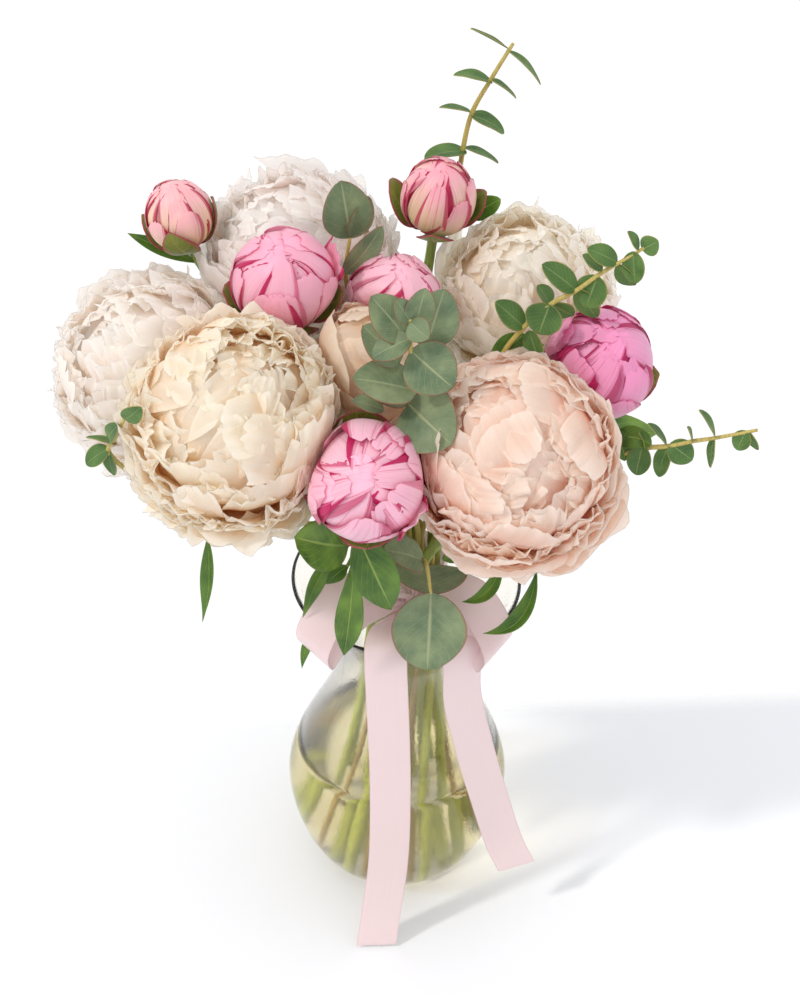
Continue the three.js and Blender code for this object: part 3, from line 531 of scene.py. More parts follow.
# Each eye is a point that petals close around: which way it faces, how many petals, how far they spread
# in degrees, how far past the middle its first petals reach, and how deep it lies.
# Each outer petal: where its tip stands from the head's middle, half its width in radians, how far out it is.
openHeads = {
    "left_blush": {
        "centre": (-149, 15, 369), "radius": 56, "facing": (-0.25, -0.4, 0.84), "slot": (2, 5),
        "ragged": 0.06, "ruffle": 0.06, "lift": 0.05, "stand": 1.0, "flare": 0.05,
        "guards": 12, "guardTip": (114, 134),
        "eyes": [{"aim": (-0.35, -0.44, 0.82), "petals": 170, "spread": 118, "closed": 14, "dip": 0.04}],
        "outer": [((-0.80, -0.33, 0.49), 0.30, 1.06), ((-0.84, -0.35, -0.42), 0.34, 1.06),
                  ((-0.46, 0.57, 0.68), 0.32, 1.08), ((-0.49, -0.56, -0.67), 0.36, 1.10),
                  ((0.07, 0.64, 0.77), 0.34, 1.06)]},
    "front_cream": {
        "centre": (-97, -52, 388), "radius": 58, "facing": (0.05, -0.5, 0.85), "slot": (2, 7),
        "ragged": 0.07, "ruffle": 0.065, "lift": 0.06, "stand": 1.0, "flare": 0.09,
        "guards": 12, "guardTip": (116, 138),
        "eyes": [{"aim": (0.0, -0.35, 0.94), "petals": 146, "spread": 122, "closed": 12, "dip": 0.02},
                 {"aim": (0.30, -0.34, 0.89), "petals": 40, "spread": 33, "closed": 6, "dip": 0.10},
                 {"aim": (-0.37, -0.81, 0.46), "petals": 22, "spread": 25, "closed": 5, "dip": 0.14}],
        "outer": [((-0.27, -0.62, -0.74), 0.34, 1.12), ((0.13, -0.63, -0.76), 0.36, 1.17),
                  ((0.41, -0.58, -0.70), 0.34, 1.15), ((-0.75, -0.42, -0.51), 0.34, 1.16),
                  ((-0.53, -0.54, -0.65), 0.30, 1.12), ((0.09, 0.33, 0.94), 0.40, 1.08),
                  ((0.65, 0.48, 0.58), 0.52, 1.06), ((0.75, -0.65, 0.09), 0.34, 1.04)]},
    "back_blush": {
        "centre": (-73, 92, 396), "radius": 56, "facing": (-0.2, -0.2, 0.94), "slot": (2, 4),
        "ragged": 0.05, "ruffle": 0.06, "lift": 0.05, "stand": 1.0, "flare": 0.04,
        "guards": 10, "guardTip": (112, 132),
        "eyes": [{"aim": (-0.41, -0.40, 0.82), "petals": 160, "spread": 122, "closed": 14, "dip": 0.05}],
        "outer": [((-0.06, 0.22, 0.97), 0.32, 1.12), ((0.40, 0.29, 0.87), 0.34, 1.08),
                  ((-0.86, -0.35, 0.39), 0.50, 1.12), ((-0.56, 0.09, 0.82), 0.34, 1.06),
                  ((0.80, 0.38, 0.46), 0.32, 1.10)]},
    "right_white": {
        "centre": (63, 80, 386), "radius": 51, "facing": (0.05, -0.25, 0.95), "slot": (2, 1),
        "ragged": 0.05, "ruffle": 0.06, "lift": 0.06, "stand": 1.0, "flare": 0.04,
        "guards": 10, "guardTip": (112, 132),
        "eyes": [{"aim": (-0.11, -0.39, 0.91), "petals": 150, "spread": 120, "closed": 13, "dip": 0.05}],
        "outer": [((-0.05, 0.18, 0.98), 0.42, 1.10), ((-0.83, 0.07, 0.55), 0.34, 1.14),
                  ((0.86, -0.28, 0.42), 0.36, 1.08), ((0.83, 0.35, 0.43), 0.30, 1.14),
                  ((-0.56, -0.80, 0.23), 0.34, 1.04), ((-0.40, 0.07, 0.91), 0.34, 1.06)]},
    "front_peach": {
        "centre": (54, -55, 374), "radius": 57, "facing": (-0.2, -0.58, 0.77), "slot": (2, 10),
        "ragged": 0.03, "ruffle": 0.045, "lift": 0.02, "stand": 0.5, "flare": 0.06,
        "guards": 9, "guardTip": (84, 112),
        "eyes": [{"aim": (-0.14, -0.60, 0.79), "petals": 150, "spread": 108, "closed": 13, "dip": 0.06},
                 {"aim": (0.28, -0.86, 0.42), "petals": 18, "spread": 22, "closed": 4, "dip": 0.08},
                 {"aim": (-0.40, -0.25, 0.88), "petals": 16, "spread": 20, "closed": 3, "dip": 0.10}],
        "outer": [((0.40, -0.59, -0.71), 0.62, 1.20), ((0.72, -0.44, -0.53), 0.58, 1.19),
                  ((0.93, -0.29, -0.20), 0.52, 1.12), ((-0.03, -0.81, -0.59), 0.60, 1.15),
                  ((-0.42, -0.84, -0.34), 0.50, 1.10)]},
    "middle_cream": {
        "centre": (-23, -8, 398), "radius": 38, "facing": (-0.1, -0.3, 0.95), "slot": (1, 4),
        "ragged": 0.02, "ruffle": 0.04, "lift": 0.03, "stand": 0.3, "flare": 0.0,
        "guards": 6, "guardTip": (80, 100),
        "eyes": [{"aim": (-0.54, -0.37, 0.76), "petals": 50, "spread": 100, "closed": 14, "dip": 0.05}],
        "outer": [((-0.50, -0.45, 0.74), 0.75, 1.05)]},
}
budHeads = {
    "left": {"centre": (-140, 76, 436), "radius": 20, "facing": (-0.3, -0.1, 0.95), "slot": (1, 2),
             "tall": 1.15, "sepals": 80},
    "large_pink": {"centre": (-76, 20, 433), "radius": 30, "facing": (-0.1, -0.35, 0.93), "slot": (1, 3),
                   "sepals": 98, "outer": [((0.74, 0.30, 0.60), 0.42, 1.08)]},
    "pale": {"centre": (-15, 32, 414), "radius": 28, "facing": (0.1, -0.2, 0.97), "slot": (1, 1),
             "sepals": 110},
    "tulip": {"centre": (8, 90, 447), "radius": 22, "facing": (0.05, -0.3, 0.95), "slot": (2, 3),
              "tall": 1.25, "sepals": 88, "looseSepals": 6},
    "vivid_right": {"centre": (104, 13, 391), "radius": 32, "facing": (0.2, -0.45, 0.87), "slot": (2, 0),
                    "sepals": 104,
                    "outer": [((-0.62, -0.30, 0.74), 0.42, 1.08), ((-0.30, -0.76, 0.56), 0.5, 1.05)]},
    "striped_front": {"centre": (-25, -86, 379), "radius": 34, "facing": (0, -0.75, 0.66), "slot": (2, 8),
                      "tall": 1.02, "sepals": 108, "outer": [((0.86, -0.50, 0.05), 0.42, 1.10)]},
}
heads = {**openHeads, **budHeads}
petalReach = {"open": 1.05, "bud": 1.02}
for name, head in heads.items():
    head["name"] = name
    head["centre"] = Vector(head["centre"])
    head["facing"] = Vector(head["facing"]).normalized()
    head["turned"] = Vector((0, 0, 1)).rotation_difference(head["facing"]).to_matrix()
    head["reach"] = head["radius"] * petalReach["open" if "eyes" in head else "bud"]


# Where two heads would press into each other, their petals stop at the plane between them.
def partingsOf(head):
    planes = []
    for other in heads.values():
        toward = other["centre"] - head["centre"]
        distance = toward.length
        if other is head or distance > head["reach"] + other["reach"]:
            continue
        share = (distance ** 2 + head["reach"] ** 2 - other["reach"] ** 2) / (2 * distance)
        normal = toward.normalized()
        planes.append((normal, share + head["centre"].dot(normal)))
    return planes


# How softly a petal comes to rest against the plane, and how far from it, in millimetres.
pressing = {"softness": 2.5, "margin": 1.0}


def pressedBack(point, planes):
    soft = pressing["softness"]
    for normal, offset in planes:
        over = normal.dot(point) - offset + pressing["margin"]
        if over > -4 * soft:
            point = point - normal * soft * math.log1p(math.exp(over / soft))
    return point


def direction(polar, azimuth):
    return Vector((math.sin(polar) * math.cos(azimuth), math.sin(polar) * math.sin(azimuth), math.cos(polar)))


# A direction on the ball, swung round its side by an angle.
def swung(aim, azimuth, swing):
    return aim * math.cos(swing) + Vector((-math.sin(azimuth), math.cos(azimuth), 0)) * math.sin(swing)


# How deep a petal's edge is cut here: 1 in the middle of a cut, and 0 away from it.
def edgeCut(place, width, seed, layer):
    return max(0, width - abs(noise.noise(Vector((place, seed, layer))))) / width


def addHead(bm, head, kind, material, thickness):
    name = head["name"]
    addPiece(bm, name + "_" + kind, material, [name + "_petals"], thickness)


# What the petals of the open heads share: lobed by clefts, frayed between them, narrow at the root.
bloomPetal = {
    "columns": 18, "rows": 10, "thickness": 0.35, "clefts": 2.2, "cleftWidth": 0.16, "frays": 6.5,
    "frayWidth": 0.2, "frayDepth": 0.35, "roundness": 0.09, "rootWidth": 0.4, "widestFrom": 0.65,
    "tipNarrows": 0.12, "crumple": 0.045, "swirl": 0.4, "tilt": 0.025, "waves": (1.2, 3.2),
}


# A petal is a strip of a slightly dished ball: its root lies deep and its tip at the surface, so that
# petals overlap like shingles. Each waves, crumples and tears at its edge in its own way.
def addBloomPetal(bm, head, turned, tip, root, azimuth, half, reach, dig, ragged):
    petal = bloomPetal
    radius = head["radius"]
    which = chance.random()
    ruffle = head["ruffle"] * chance.uniform(0.3, 1.4)
    lift = head["lift"] * chance.uniform(-0.2, 1.2)
    waves = chance.uniform(*petal["waves"])
    phase = chance.uniform(0, 6)
    swirl = chance.uniform(-petal["swirl"], petal["swirl"])
    tilt = chance.uniform(-petal["tilt"], petal["tilt"])
    seed = chance.uniform(0, 90)
    rootWidth = petal["rootWidth"]

    def rule(u, v):
        # rounded lobes with narrow clefts between them
        cleft = edgeCut(u * petal["clefts"], petal["cleftWidth"], seed, 0)
        fray = edgeCut(u * petal["frays"], petal["frayWidth"], seed, 4)
        top = 1 - petal["roundness"] * abs(u) ** 3 - ragged * (cleft + petal["frayDepth"] * fray) * v ** 3
        polar = root + (tip - root) * v * top
        turn = azimuth + swirl * v
        wide = rootWidth + (1 - rootWidth) * math.sin(math.pi / 2 * min(1, v / petal["widestFrom"]))
        wide *= 1 - petal["tipNarrows"] * max(0, (v - 0.7) / 0.3) ** 2
        # long waves, strongest at the sides, and smaller folds that differ from place to place
        folds = math.sin(waves * math.pi * u + phase) * (0.35 + 0.65 * abs(u))
        folds += 0.9 * noise.noise(Vector((u * 4.6, seed, v * 1.2)))
        ripple = ruffle * v ** 3 * folds
        crumple = petal["crumple"] * v * noise.noise(Vector((u * 1.7, v * 2.6, seed)))
        distance = reach * (1 - dig * (1 - v) ** 1.3) + lift * v ** 4 + ripple + crumple + tilt * u * v
        aim = swung(direction(polar, turn), turn, u * half * wide)
        return pressedBack(head["centre"] + turned @ (aim * (distance * radius)), head["partings"])

    addSurface(bm, petal["columns"], petal["rows"], rule, which)


# The bases of the petals, seen only deep between them, in the colour of a petal's lower half.
heart = {"size": 0.84, "bulges": 0.08, "dimples": 0.06, "columns": 40, "rows": 20, "place": (0, 0.55, 0.5)}


def addHeart(bm, head):
    seed = chance.uniform(0, 90)

    def rule(u, v):
        aim = direction(math.pi * v, math.pi * u)
        size = heart["size"] + heart["bulges"] * noise.noise(aim * 3.5 + Vector((seed, 0, 0)))
        size += heart["dimples"] * noise.noise(aim * 9)
        spot = head["centre"] + head["turned"] @ (aim * (size * head["radius"]))
        return pressedBack(spot, head["partings"])

    made = addSurface(bm, heart["columns"], heart["rows"], rule)
    for vert in made:
        vert[bm.verts.layers.float_vector["place"]] = heart["place"]
    bmesh.ops.remove_doubles(bm, verts=made, dist=1e-6)


# How the petals of an eye lie. From tip to root they reach over some degrees, more towards the outside and
# less where a petal stands up. Half their width is in radians, and the root's depth a share of the radius.
shingles = {
    "overlap": 58, "outward": 12, "standing": 30, "limit": 165, "half": 0.20, "wider": 0.16, "widest": 1.8,
    "halfUneven": (0.7, 1.55), "reach": (0.95, 1.02), "raggedUneven": (0.4, 1.3), "dig": 0.22,
    "digStanding": 0.12, "joined": 10,
}


def addEye(bm, head, eye, smaller):
    turned = Vector((0, 0, 1)).rotation_difference(eye["aim"]).to_matrix()
    spread = 1 - math.cos(math.radians(eye["spread"]))
    for index in range(eye["petals"]):
        share = (index + 0.5) / eye["petals"]
        azimuth = index * goldenAngle + chance.uniform(-0.3, 0.3)
        middle = math.acos(1 - share * spread)
        tip = middle - math.radians(eye["closed"]) * (1 - share) ** 3 + chance.uniform(-0.1, 0.1)
        aim = turned @ direction(tip, azimuth)
        if any(aim.angle(other["aim"]) < math.radians(other["spread"] - shingles["joined"])
               for other in smaller):
            continue
        # some petals lie along the ball, others stand up from it
        stand = head["stand"] * chance.random()
        overlap = shingles["overlap"] + shingles["outward"] * share - shingles["standing"] * stand
        root = min(tip + math.radians(overlap), math.radians(shingles["limit"]))
        half = shingles["half"] + shingles["wider"] * middle / shingles["widest"]
        half *= chance.uniform(*shingles["halfUneven"])
        reach = (1 - eye["dip"] * (1 - share) ** 3) * chance.uniform(*shingles["reach"])
        reach += head["flare"] * max(0, share - 0.5) / 0.5
        addBloomPetal(bm, head, turned, tip, root, azimuth, half, reach,
                      shingles["dig"] + shingles["digStanding"] * stand,
                      head["ragged"] * chance.uniform(*shingles["raggedUneven"]))


# The single petals that are listed one by one, and the guard petals in a ring under the head.
outerPetal = {"overlap": 62, "limit": 168, "dig": 0.34}
guardPetal = {"root": 166, "half": (0.36, 0.5), "reach": (0.96, 1.02), "dig": 0.3, "ragged": 0.8,
              "uneven": 0.25}


def addOuterPetals(bm, head):
    for aim, half, reach in head["outer"]:
        local = head["turned"].transposed() @ Vector(aim).normalized()
        tip = math.acos(local.z)
        root = min(tip + math.radians(outerPetal["overlap"]), math.radians(outerPetal["limit"]))
        addBloomPetal(bm, head, head["turned"], tip, root, math.atan2(local.y, local.x), half, reach,
                      outerPetal["dig"], head["ragged"])


def addGuardPetals(bm, head):
    guard = guardPetal
    for index in range(head["guards"]):
        azimuth = 2 * math.pi * index / head["guards"] + chance.uniform(-guard["uneven"], guard["uneven"])
        tip = math.radians(chance.uniform(*head["guardTip"]))
        addBloomPetal(bm, head, head["turned"], tip, math.radians(guard["root"]), azimuth,
                      chance.uniform(*guard["half"]), chance.uniform(*guard["reach"]), guard["dig"],
                      head["ragged"] * guard["ragged"])


def addOpenPeony(head):
    head["partings"] = partingsOf(head)
    for eye in head["eyes"]:
        eye["aim"] = Vector(eye["aim"]).normalized()
    bm = newShape()
    addHeart(bm, head)
    first, *smaller = head["eyes"]
    addEye(bm, head, first, smaller)
    for eye in smaller:
        addEye(bm, head, eye, [])
    addGuardPetals(bm, head)
    addOuterPetals(bm, head)
    addHead(bm, head, "bloom", petalColours[head["name"]], bloomPetal["thickness"])


for head in openHeads.values():
    addOpenPeony(head)
print("open peonies made")

# Buds: whorls of broad petals wrapped round a ball, each with one edge over its neighbour and one under.
budWhorls = [
    {"count": 3, "reach": 0.85, "root": 150, "tip": -30, "half": 0.85},
    {"count": 4, "reach": 0.875, "root": 150, "tip": -18, "half": 0.72},
    {"count": 5, "reach": 0.905, "root": 150, "tip": -5, "half": 0.62},
    {"count": 5, "reach": 0.935, "root": 152, "tip": 12, "half": 0.60},
    {"count": 5, "reach": 0.962, "root": 154, "tip": 32, "half": 0.58},
    {"count": 4, "reach": 0.985, "root": 158, "tip": 54, "half": 0.62},
]
looseBudPetal = {"ragged": 0.04, "ruffle": 0.05, "lift": 0.10}
budPetal = {
    "columns": 14, "rows": 18, "thickness": 0.5, "roundness": 0.13, "notches": 3.0, "notchDepth": 0.09,
    "overlap": 0.02, "dents": 0.012, "uneven": 0.35,
}


def addBudPetal(bm, head, whorl, azimuth):
    petal = budPetal
    radius = head["radius"]
    which = chance.random()
    seed = chance.uniform(0, 90)
    tip = math.radians(whorl["tip"] + chance.uniform(-12, 16))
    root = math.radians(whorl["root"])
    half = whorl["half"] * chance.uniform(0.75, 1.1)
    lean = chance.uniform(-0.3, 0.8)
    loose = chance.uniform(0, 0.035)

    def rule(u, v):
        notch = petal["notchDepth"] * abs(noise.noise(Vector((u * petal["notches"], seed, 0))))
        polar = root + (tip - root) * v * (1 - petal["roundness"] * abs(u) ** 2.5 - notch)
        turn = azimuth + lean * v
        wide = math.sin(math.pi * (0.16 + 0.66 * v)) ** 0.8
        shell = whorl["reach"] + petal["overlap"] * u + loose * v ** 6
        shell += petal["dents"] * noise.noise(Vector((u * 1.5, v * 2, seed)))
        aim = swung(direction(polar, turn), turn, u * half * wide)
        if aim.z > 0:
            aim.z *= head.get("tall", 1)
        return pressedBack(head["centre"] + head["turned"] @ (aim * shell * radius), head["partings"])

    addSurface(bm, petal["columns"], petal["rows"], rule, which)


def addBud(head):
    head["partings"] = partingsOf(head)
    bm = newShape()
    for whorl in budWhorls:
        begin = chance.uniform(0, 6)
        for k in range(whorl["count"]):
            uneven = chance.uniform(-budPetal["uneven"], budPetal["uneven"])
            addBudPetal(bm, head, whorl, begin + 2 * math.pi * k / whorl["count"] + uneven)
    if "outer" in head:
        addOuterPetals(bm, {**looseBudPetal, **head})
    addHead(bm, head, "bud", budColours[head["name"]], budPetal["thickness"])


for head in budHeads.values():
    addBud(head)
print("buds made")

# Sepals: their angles are in degrees from the head's top, their widths in radians. How far they lie from the
# head's middle, and the cup where its stem begins, is a share of its radius and some millimetres more.
calyx = {
    "count": 4, "root": 168, "tip": 128, "uneven": 12, "width": (0.4, 0.56), "loose": 3, "apart": 0.3,
    "waver": 0.05, "dish": 0.6, "columns": 8, "rows": 12, "thickness": 0.7, "openSepals": (0.62, 0.8),
    "budSepals": (1.02, 0.8), "openCup": (0.6, 0.4), "budCup": (1.03, 2.2),
}


def underHead(head, part):
    share, more = calyx[("open" if "eyes" in head else "bud") + part]
    return head["radius"] * share + more


# A sepal lies along the underside of the head, pointed, its tip a little free.
def addSepal(bm, head, azimuth, top, width, radius, free):
    which = chance.random()
    bottom = calyx["root"]

    def rule(u, v):
        polar = math.radians(bottom + (top - bottom) * v)
        wide = width * math.sin(math.pi * (0.1 + 0.9 * v) ** 1.3) ** 0.8 + 0.01
        aim = swung(direction(polar, azimuth + calyx["waver"] * math.sin(5 * v)), azimuth, u * wide)
        return head["centre"] + head["turned"] @ (aim * (radius + free * v ** 3 + calyx["dish"] * u * u))

    addSurface(bm, calyx["columns"], calyx["rows"], rule, which)


# Leaves on the peony stems: the share of the bent stem where each grows, its root if it has a stalk of its
# own, the point that its rib bows towards, its tip, its width, and what else shapes it.
stemLeaves = {
    "striped_front": [
        (0.62, (-34, -70, 318), (-44, -90, 334), (-62, -96, 345), 30,
         {"widest": 0.5, "full": 0.6, "wave": 0.03}),
        (0.45, (-30, -76, 322), (-30, -90, 288), (-34, -85, 248), 16, {"widest": 0.6, "fold": 0.3}),
        (0.55, (-29, -78, 334), (-16, -94, 314), (-8, -83, 284), 25, {"full": 0.8, "wave": 0.03}),
        (0.4, (-34, -58, 293), (-40, -64, 292), (-46, -66, 285), 9, {}),
    ],
    "front_peach": [
        (0.5, (53, -58, 302), (50, -68, 280), (32, -71, 281), 8, {"fold": 0.6}),
        (0.42, (73, -62, 298), (71, -74, 261), (45, -76, 262), 10, {"fold": 0.7, "curl": 0.8}),
        (0.6, (20, -62, 304), (26, -66, 310), (31, -66, 318), 8, {}),
    ],
    "front_cream": [
        (0.7, (-114, -54, 306), (-112, -64, 276), (-117, -64, 250), 9, {"fold": 0.5, "curl": 1.2}),
        (0.35, (-44, -50, 289), (-51, -60, 286), (-59, -62, 255), 9, {"fold": 0.4}),
    ],
    "left_blush": [
        (0.1, (-50, -56, 244), (-58, -64, 236), (-59, -66, 218), 6, {}),
        (0.75, None, (-150, 40, 318), (-186, 66, 288), 28, {"wave": 0.04}),
    ],
    "left": [
        (0.95, None, (-154, 74, 416), (-170, 74, 424), 9, {}),
    ],
    "right_white": [
        (0.8, (40, 4, 398), (54, -2, 412), (70, 2, 410), 18, {"wave": 0.03}),
        (0.6, None, (90, 110, 330), (118, 146, 300), 32, {"wave": 0.04}),
    ],
    "vivid_right": [
        (0.85, (108, -20, 366), (118, -27, 368), (119, -29, 355), 12, {"full": 0.6}),
        (0.8, (112, -18, 360), (122, -28, 376), (133, -28, 366), 13, {"full": 0.6}),
        (0.6, None, (118, 44, 320), (150, 74, 296), 28, {"wave": 0.04}),
    ],
    "back_blush": [
        (0.55, None, (-84, 124, 330), (-108, 158, 290), 32, {"wave": 0.04}),
        (0.7, None, (-30, 128, 352), (-20, 160, 334), 26, {"wave": 0.04}),
    ],
    "tulip": [
        (0.95, (26, 96, 432), (36, 94, 440), (44, 94, 446), 13, {"full": 0.6}),
        (0.5, None, (24, 112, 336), (44, 152, 312), 30, {"wave": 0.04}),
    ],
}
towardViewer = Vector((0, -0.77, 0.64))


# Which way a leaf's width points, when it is turned on its rib by some degrees from facing the front.
def sideways(root, tip, turn=0):
    rib = (Vector(tip) - Vector(root)).normalized()
    return Matrix.Rotation(math.radians(turn), 3, rib) @ rib.cross(towardViewer).normalized()


# A head's stem: its steps below and above the binding, how hard it bends, and the stalks of its leaves.
headStem = {"low": 30, "high": 32, "pull": 0.36, "sides": 12, "leafStalk": 1.1, "leafStalkSides": 8,
            "leafThickness": 0.5}


def headStemLine(head):
    foot, start, lean = straightPart(*head["slot"])
    end = head["centre"] - head["facing"] * (underHead(head, "Cup") + 1.5)
    pull = (end - start).length * headStem["pull"]
    bend = interpolate_bezier(start, start + lean.normalized() * pull, end - head["facing"] * pull, end,
                              headStem["high"])
    return straightLine(foot, start, headStem["low"]), bend


# From the stem to a leaf's root, along the stem at first and into the leaf's rib at last.
def leafStalkLine(spot, along, root, belly):
    out = (Vector(belly) - root).normalized()
    return interpolate_bezier(spot, spot + along * 12, root - out * 8, root + out, 10)


def addHeadStem(head):
    name = head["name"]
    low, bend = headStemLine(head)
    radius = stemRadius["peony" if "eyes" in head else "bud"]

    # knotty, and swollen under the head
    def radiusOf(v):
        return radius * (1 + 0.05 * math.sin(23 * v) + 0.25 * max(0, v - 0.96) / 0.04)

    bm = newShape()
    addRod(bm, low + bend, radiusOf, headStem["sides"])
    grown = []
    for on, root, belly, tip, width, form in stemLeaves.get(name, []):
        spot, along = alongLine(bend, on)
        if root:
            root = Vector(root)
            addRod(bm, leafStalkLine(spot, along, root, belly), lambda v: headStem["leafStalk"],
                   headStem["leafStalkSides"])
        grown.append((root or spot, belly, tip, width, form))
    addPiece(bm, name + "_stalk", materials["stem"], [name + "_stem"])
    bm = newShape()
    inner = underHead(head, "Sepals")
    top, loose = head.get("sepals", calyx["tip"]), head.get("looseSepals", calyx["loose"])
    for k in range(calyx["count"]):
        azimuth = 2 * math.pi * k / calyx["count"] + chance.uniform(-0.3, 0.3)
        addSepal(bm, head, azimuth, top + chance.uniform(-calyx["uneven"], calyx["uneven"]),
                 chance.uniform(*calyx["width"]), inner + k * calyx["apart"], chance.uniform(0, loose))
    addPiece(bm, name + "_sepals", materials["sepal"], [], calyx["thickness"])
    if grown:
        bm = newShape()
        for root, belly, tip, width, form in grown:
            addLeaf(bm, root, belly, tip, width, sideways(root, tip), **form)
        addPiece(bm, name + "_leaves", materials["peonyLeaf"], [], headStem["leafThickness"])


for head in heads.values():
    addHeadStem(head)
print("peony stems, sepals and leaves made")

# Each leaf is given by its root, its tip, its width, and by how many degrees it is turned on its rib from
# facing the front.
sprigs = {
    "tall_back": {
        "slot": (2, 2),
        "through": [(10, 62, 340), (17, 108, 400), (21, 112, 467), (25, 110, 493), (34, 105, 517),
                    (43, 102, 538), (45, 102, 542)],
        "leaves": [((42, 102, 539), (21, 102, 550), 11, 74), ((43, 102, 537), (62, 102, 517), 11, -65),
                   ((35, 105, 515), (13, 105, 519), 14, 58), ((34, 105, 517), (49, 105, 506), 12, -70),
                   ((24, 110, 493), (6, 110, 495), 12, 67), ((24, 110, 491), (44, 110, 480), 14, -48),
                   ((23, 112, 466), (-1, 100, 467), 15, 46), ((22, 112, 468), (42, 112, 459), 12, -64)]},
    "right_diagonal": {
        "slot": (1, 0), "through": [(30, 6, 330), (42, 4, 375), (48, 0, 405), (58, 0, 423), (71, 1, 438),
                                    (85, 3, 447), (97, 5, 457), (107, 8, 463), (120, 10, 472)],
        "leaves": [((58, 0, 423), (41, 0, 439), 15, 20), ((71, 0, 439), (66, -6, 423), 22, 15),
                   ((61, 0, 421), (68, -8, 406), 12, 37), ((71, 2, 438), (64, 8, 446), 15, 50),
                   ((72, 2, 438), (85, 8, 427), 13, 45), ((85, 3, 447), (65, 3, 463), 15, 22),
                   ((96, 5, 456), (91, 0, 438), 19, 20), ((86, 3, 448), (98, 8, 426), 13, 35),
                   ((98, 5, 459), (87, 10, 466), 11, 45), ((106, 8, 463), (89, 8, 471), 13, 20),
                   ((107, 8, 462), (117, 12, 446), 11, 45), ((114, 9, 470), (117, 5, 452), 13, 25),
                   ((117, 10, 471), (110, 10, 482), 8, 45), ((119, 10, 471), (127, 10, 477), 12, 10)]},
    "right_low": {
        "slot": (2, 11), "through": [(46, -8, 292), (88, -14, 322), (116, -26, 356), (129, -28, 364),
                                     (142, -29, 367), (155, -30, 372), (167, -30, 375), (190, -30, 382)],
        "leaves": [((128, -29, 367), (126, -31, 347), 14, 15), ((129, -28, 364), (125, -28, 375), 8, 72),
                   ((141, -29, 368), (129, -29, 382), 9, 60), ((142, -29, 367), (139, -29, 345), 11, 35),
                   ((143, -29, 369), (156, -33, 361), 15, 10), ((155, -30, 372), (151, -30, 382), 8, 72),
                   ((167, -30, 376), (156, -30, 394), 9, 60), ((167, -30, 375), (167, -30, 354), 9, 70),
                   ((184, -30, 381), (180, -32, 369), 11, 15), ((185, -30, 381), (192, -30, 368), 7, 60)]},
    "middle_round": {
        "slot": (1, 5), "grey": True,
        "through": [(0, -24, 320), (0, -44, 380), (-3, -58, 410), (-3, -60, 431), (-4, -60, 447),
                    (-5, -60, 467)],
        "leaves": [((4, -56, 447), (12, -48, 479), 26, 15), ((-10, -52, 432), (-30, -45, 451), 21, 20),
                   ((-6, -57, 452), (-26, -52, 475), 23, 15), ((-3, -58, 460), (2, -54, 483), 17, 20),
                   ((-17, -60, 407), (-34, -60, 412), 14, 45), ((-4, -59, 411), (-24, -56, 414), 20, 55),
                   ((-4, -60, 412), (20, -86, 406), 38, 8), ((0, -60, 421), (-34, -64, 430), 28, 30),
                   ((-4, -60, 447), (19, -72, 433), 30, 8), ((-4, -61, 456), (-24, -66, 446), 18, 30),
                   ((-5, -60, 466), (-13, -60, 479), 12, 20), ((-5, -61, 466), (5, -68, 461), 14, 15)]},
    "front_hanging": {
        "slot": (2, 9), "grey": True, "through": [(2, -40, 284), (10, -60, 300), (14, -71, 286)],
        "leaves": [((14, -71, 287), (14, -85, 240), 43, 0), ((13, -71, 285), (12, -33, 274), 44, 4),
                   ((9, -58, 299), (-14, -72, 318), 22, 35)]},
    "behind_large_bud": {
        "slot": (0, 0), "grey": True,
        "through": [(-18, 18, 322), (-36, 46, 385), (-43, 50, 420), (-41, 54, 441)],
        "leaves": [((-41, 54, 441), (-47, 56, 477), 29, 10), ((-40, 55, 440), (-32, 62, 464), 18, 50),
                   ((-43, 40, 426), (-23, 46, 455), 16, 35)]},
    "left_small": {
        "slot": (2, 6), "through": [(-66, -12, 284), (-116, -30, 303), (-150, -44, 335), (-168, -50, 362),
                                    (-163, -56, 376), (-155, -74, 403)],
        "leaves": [((-154, -76, 405), (-144, -84, 420), 11, 25), ((-158, -72, 398), (-166, -54, 372), 10, 25),
                   ((-163, -54, 370), (-180, -50, 371), 9, 70), ((-168, -50, 364), (-181, -50, 352), 12, 20),
                   ((-168, -50, 363), (-166, -50, 345), 10, 40)]},
}


# The twig thins towards its tip, and its leaves bow a little from their ribs' straight line.
twig = {"low": 30, "steps": 10, "rise": 20, "sides": 8, "thins": 0.45, "bow": (0.05, 0.2),
        "leafThickness": 0.5}


def addSprig(name, sprig):
    foot, start, lean = straightPart(*sprig["slot"])
    bend = smoothLine([start, start + lean * twig["rise"], *sprig["through"]], twig["steps"])
    bm = newShape()
    addRod(bm, straightLine(foot, start, twig["low"]) + bend,
           lambda v: stemRadius["sprig"] * (1 - twig["thins"] * v ** 3), twig["sides"])
    addPiece(bm, "twig_" + name, materials["twig"], ["sprig_" + name])
    bm = newShape()
    for root, tip, width, turn in sprig["leaves"]:
        side = sideways(root, tip, turn)
        rib = Vector(tip) - Vector(root)
        belly = Vector(root) + rib / 2 + side.cross(rib) * chance.uniform(*twig["bow"])
        addLeaf(bm, root, belly, tip, width, side, widest=0.44, full=0.6, cup=0.16, fold=0.05, wave=0.015,
                columns=14, rows=22)
    paint, slot = ("greyGumLeaf", "grey_eucalyptus") if sprig.get("grey") else ("gumLeaf", "eucalyptus")
    addPiece(bm, "foliage_" + name, materials[paint], [], twig["leafThickness"])


for name, sprig in sprigs.items():
    addSprig(name, sprig)
print("eucalyptus made")

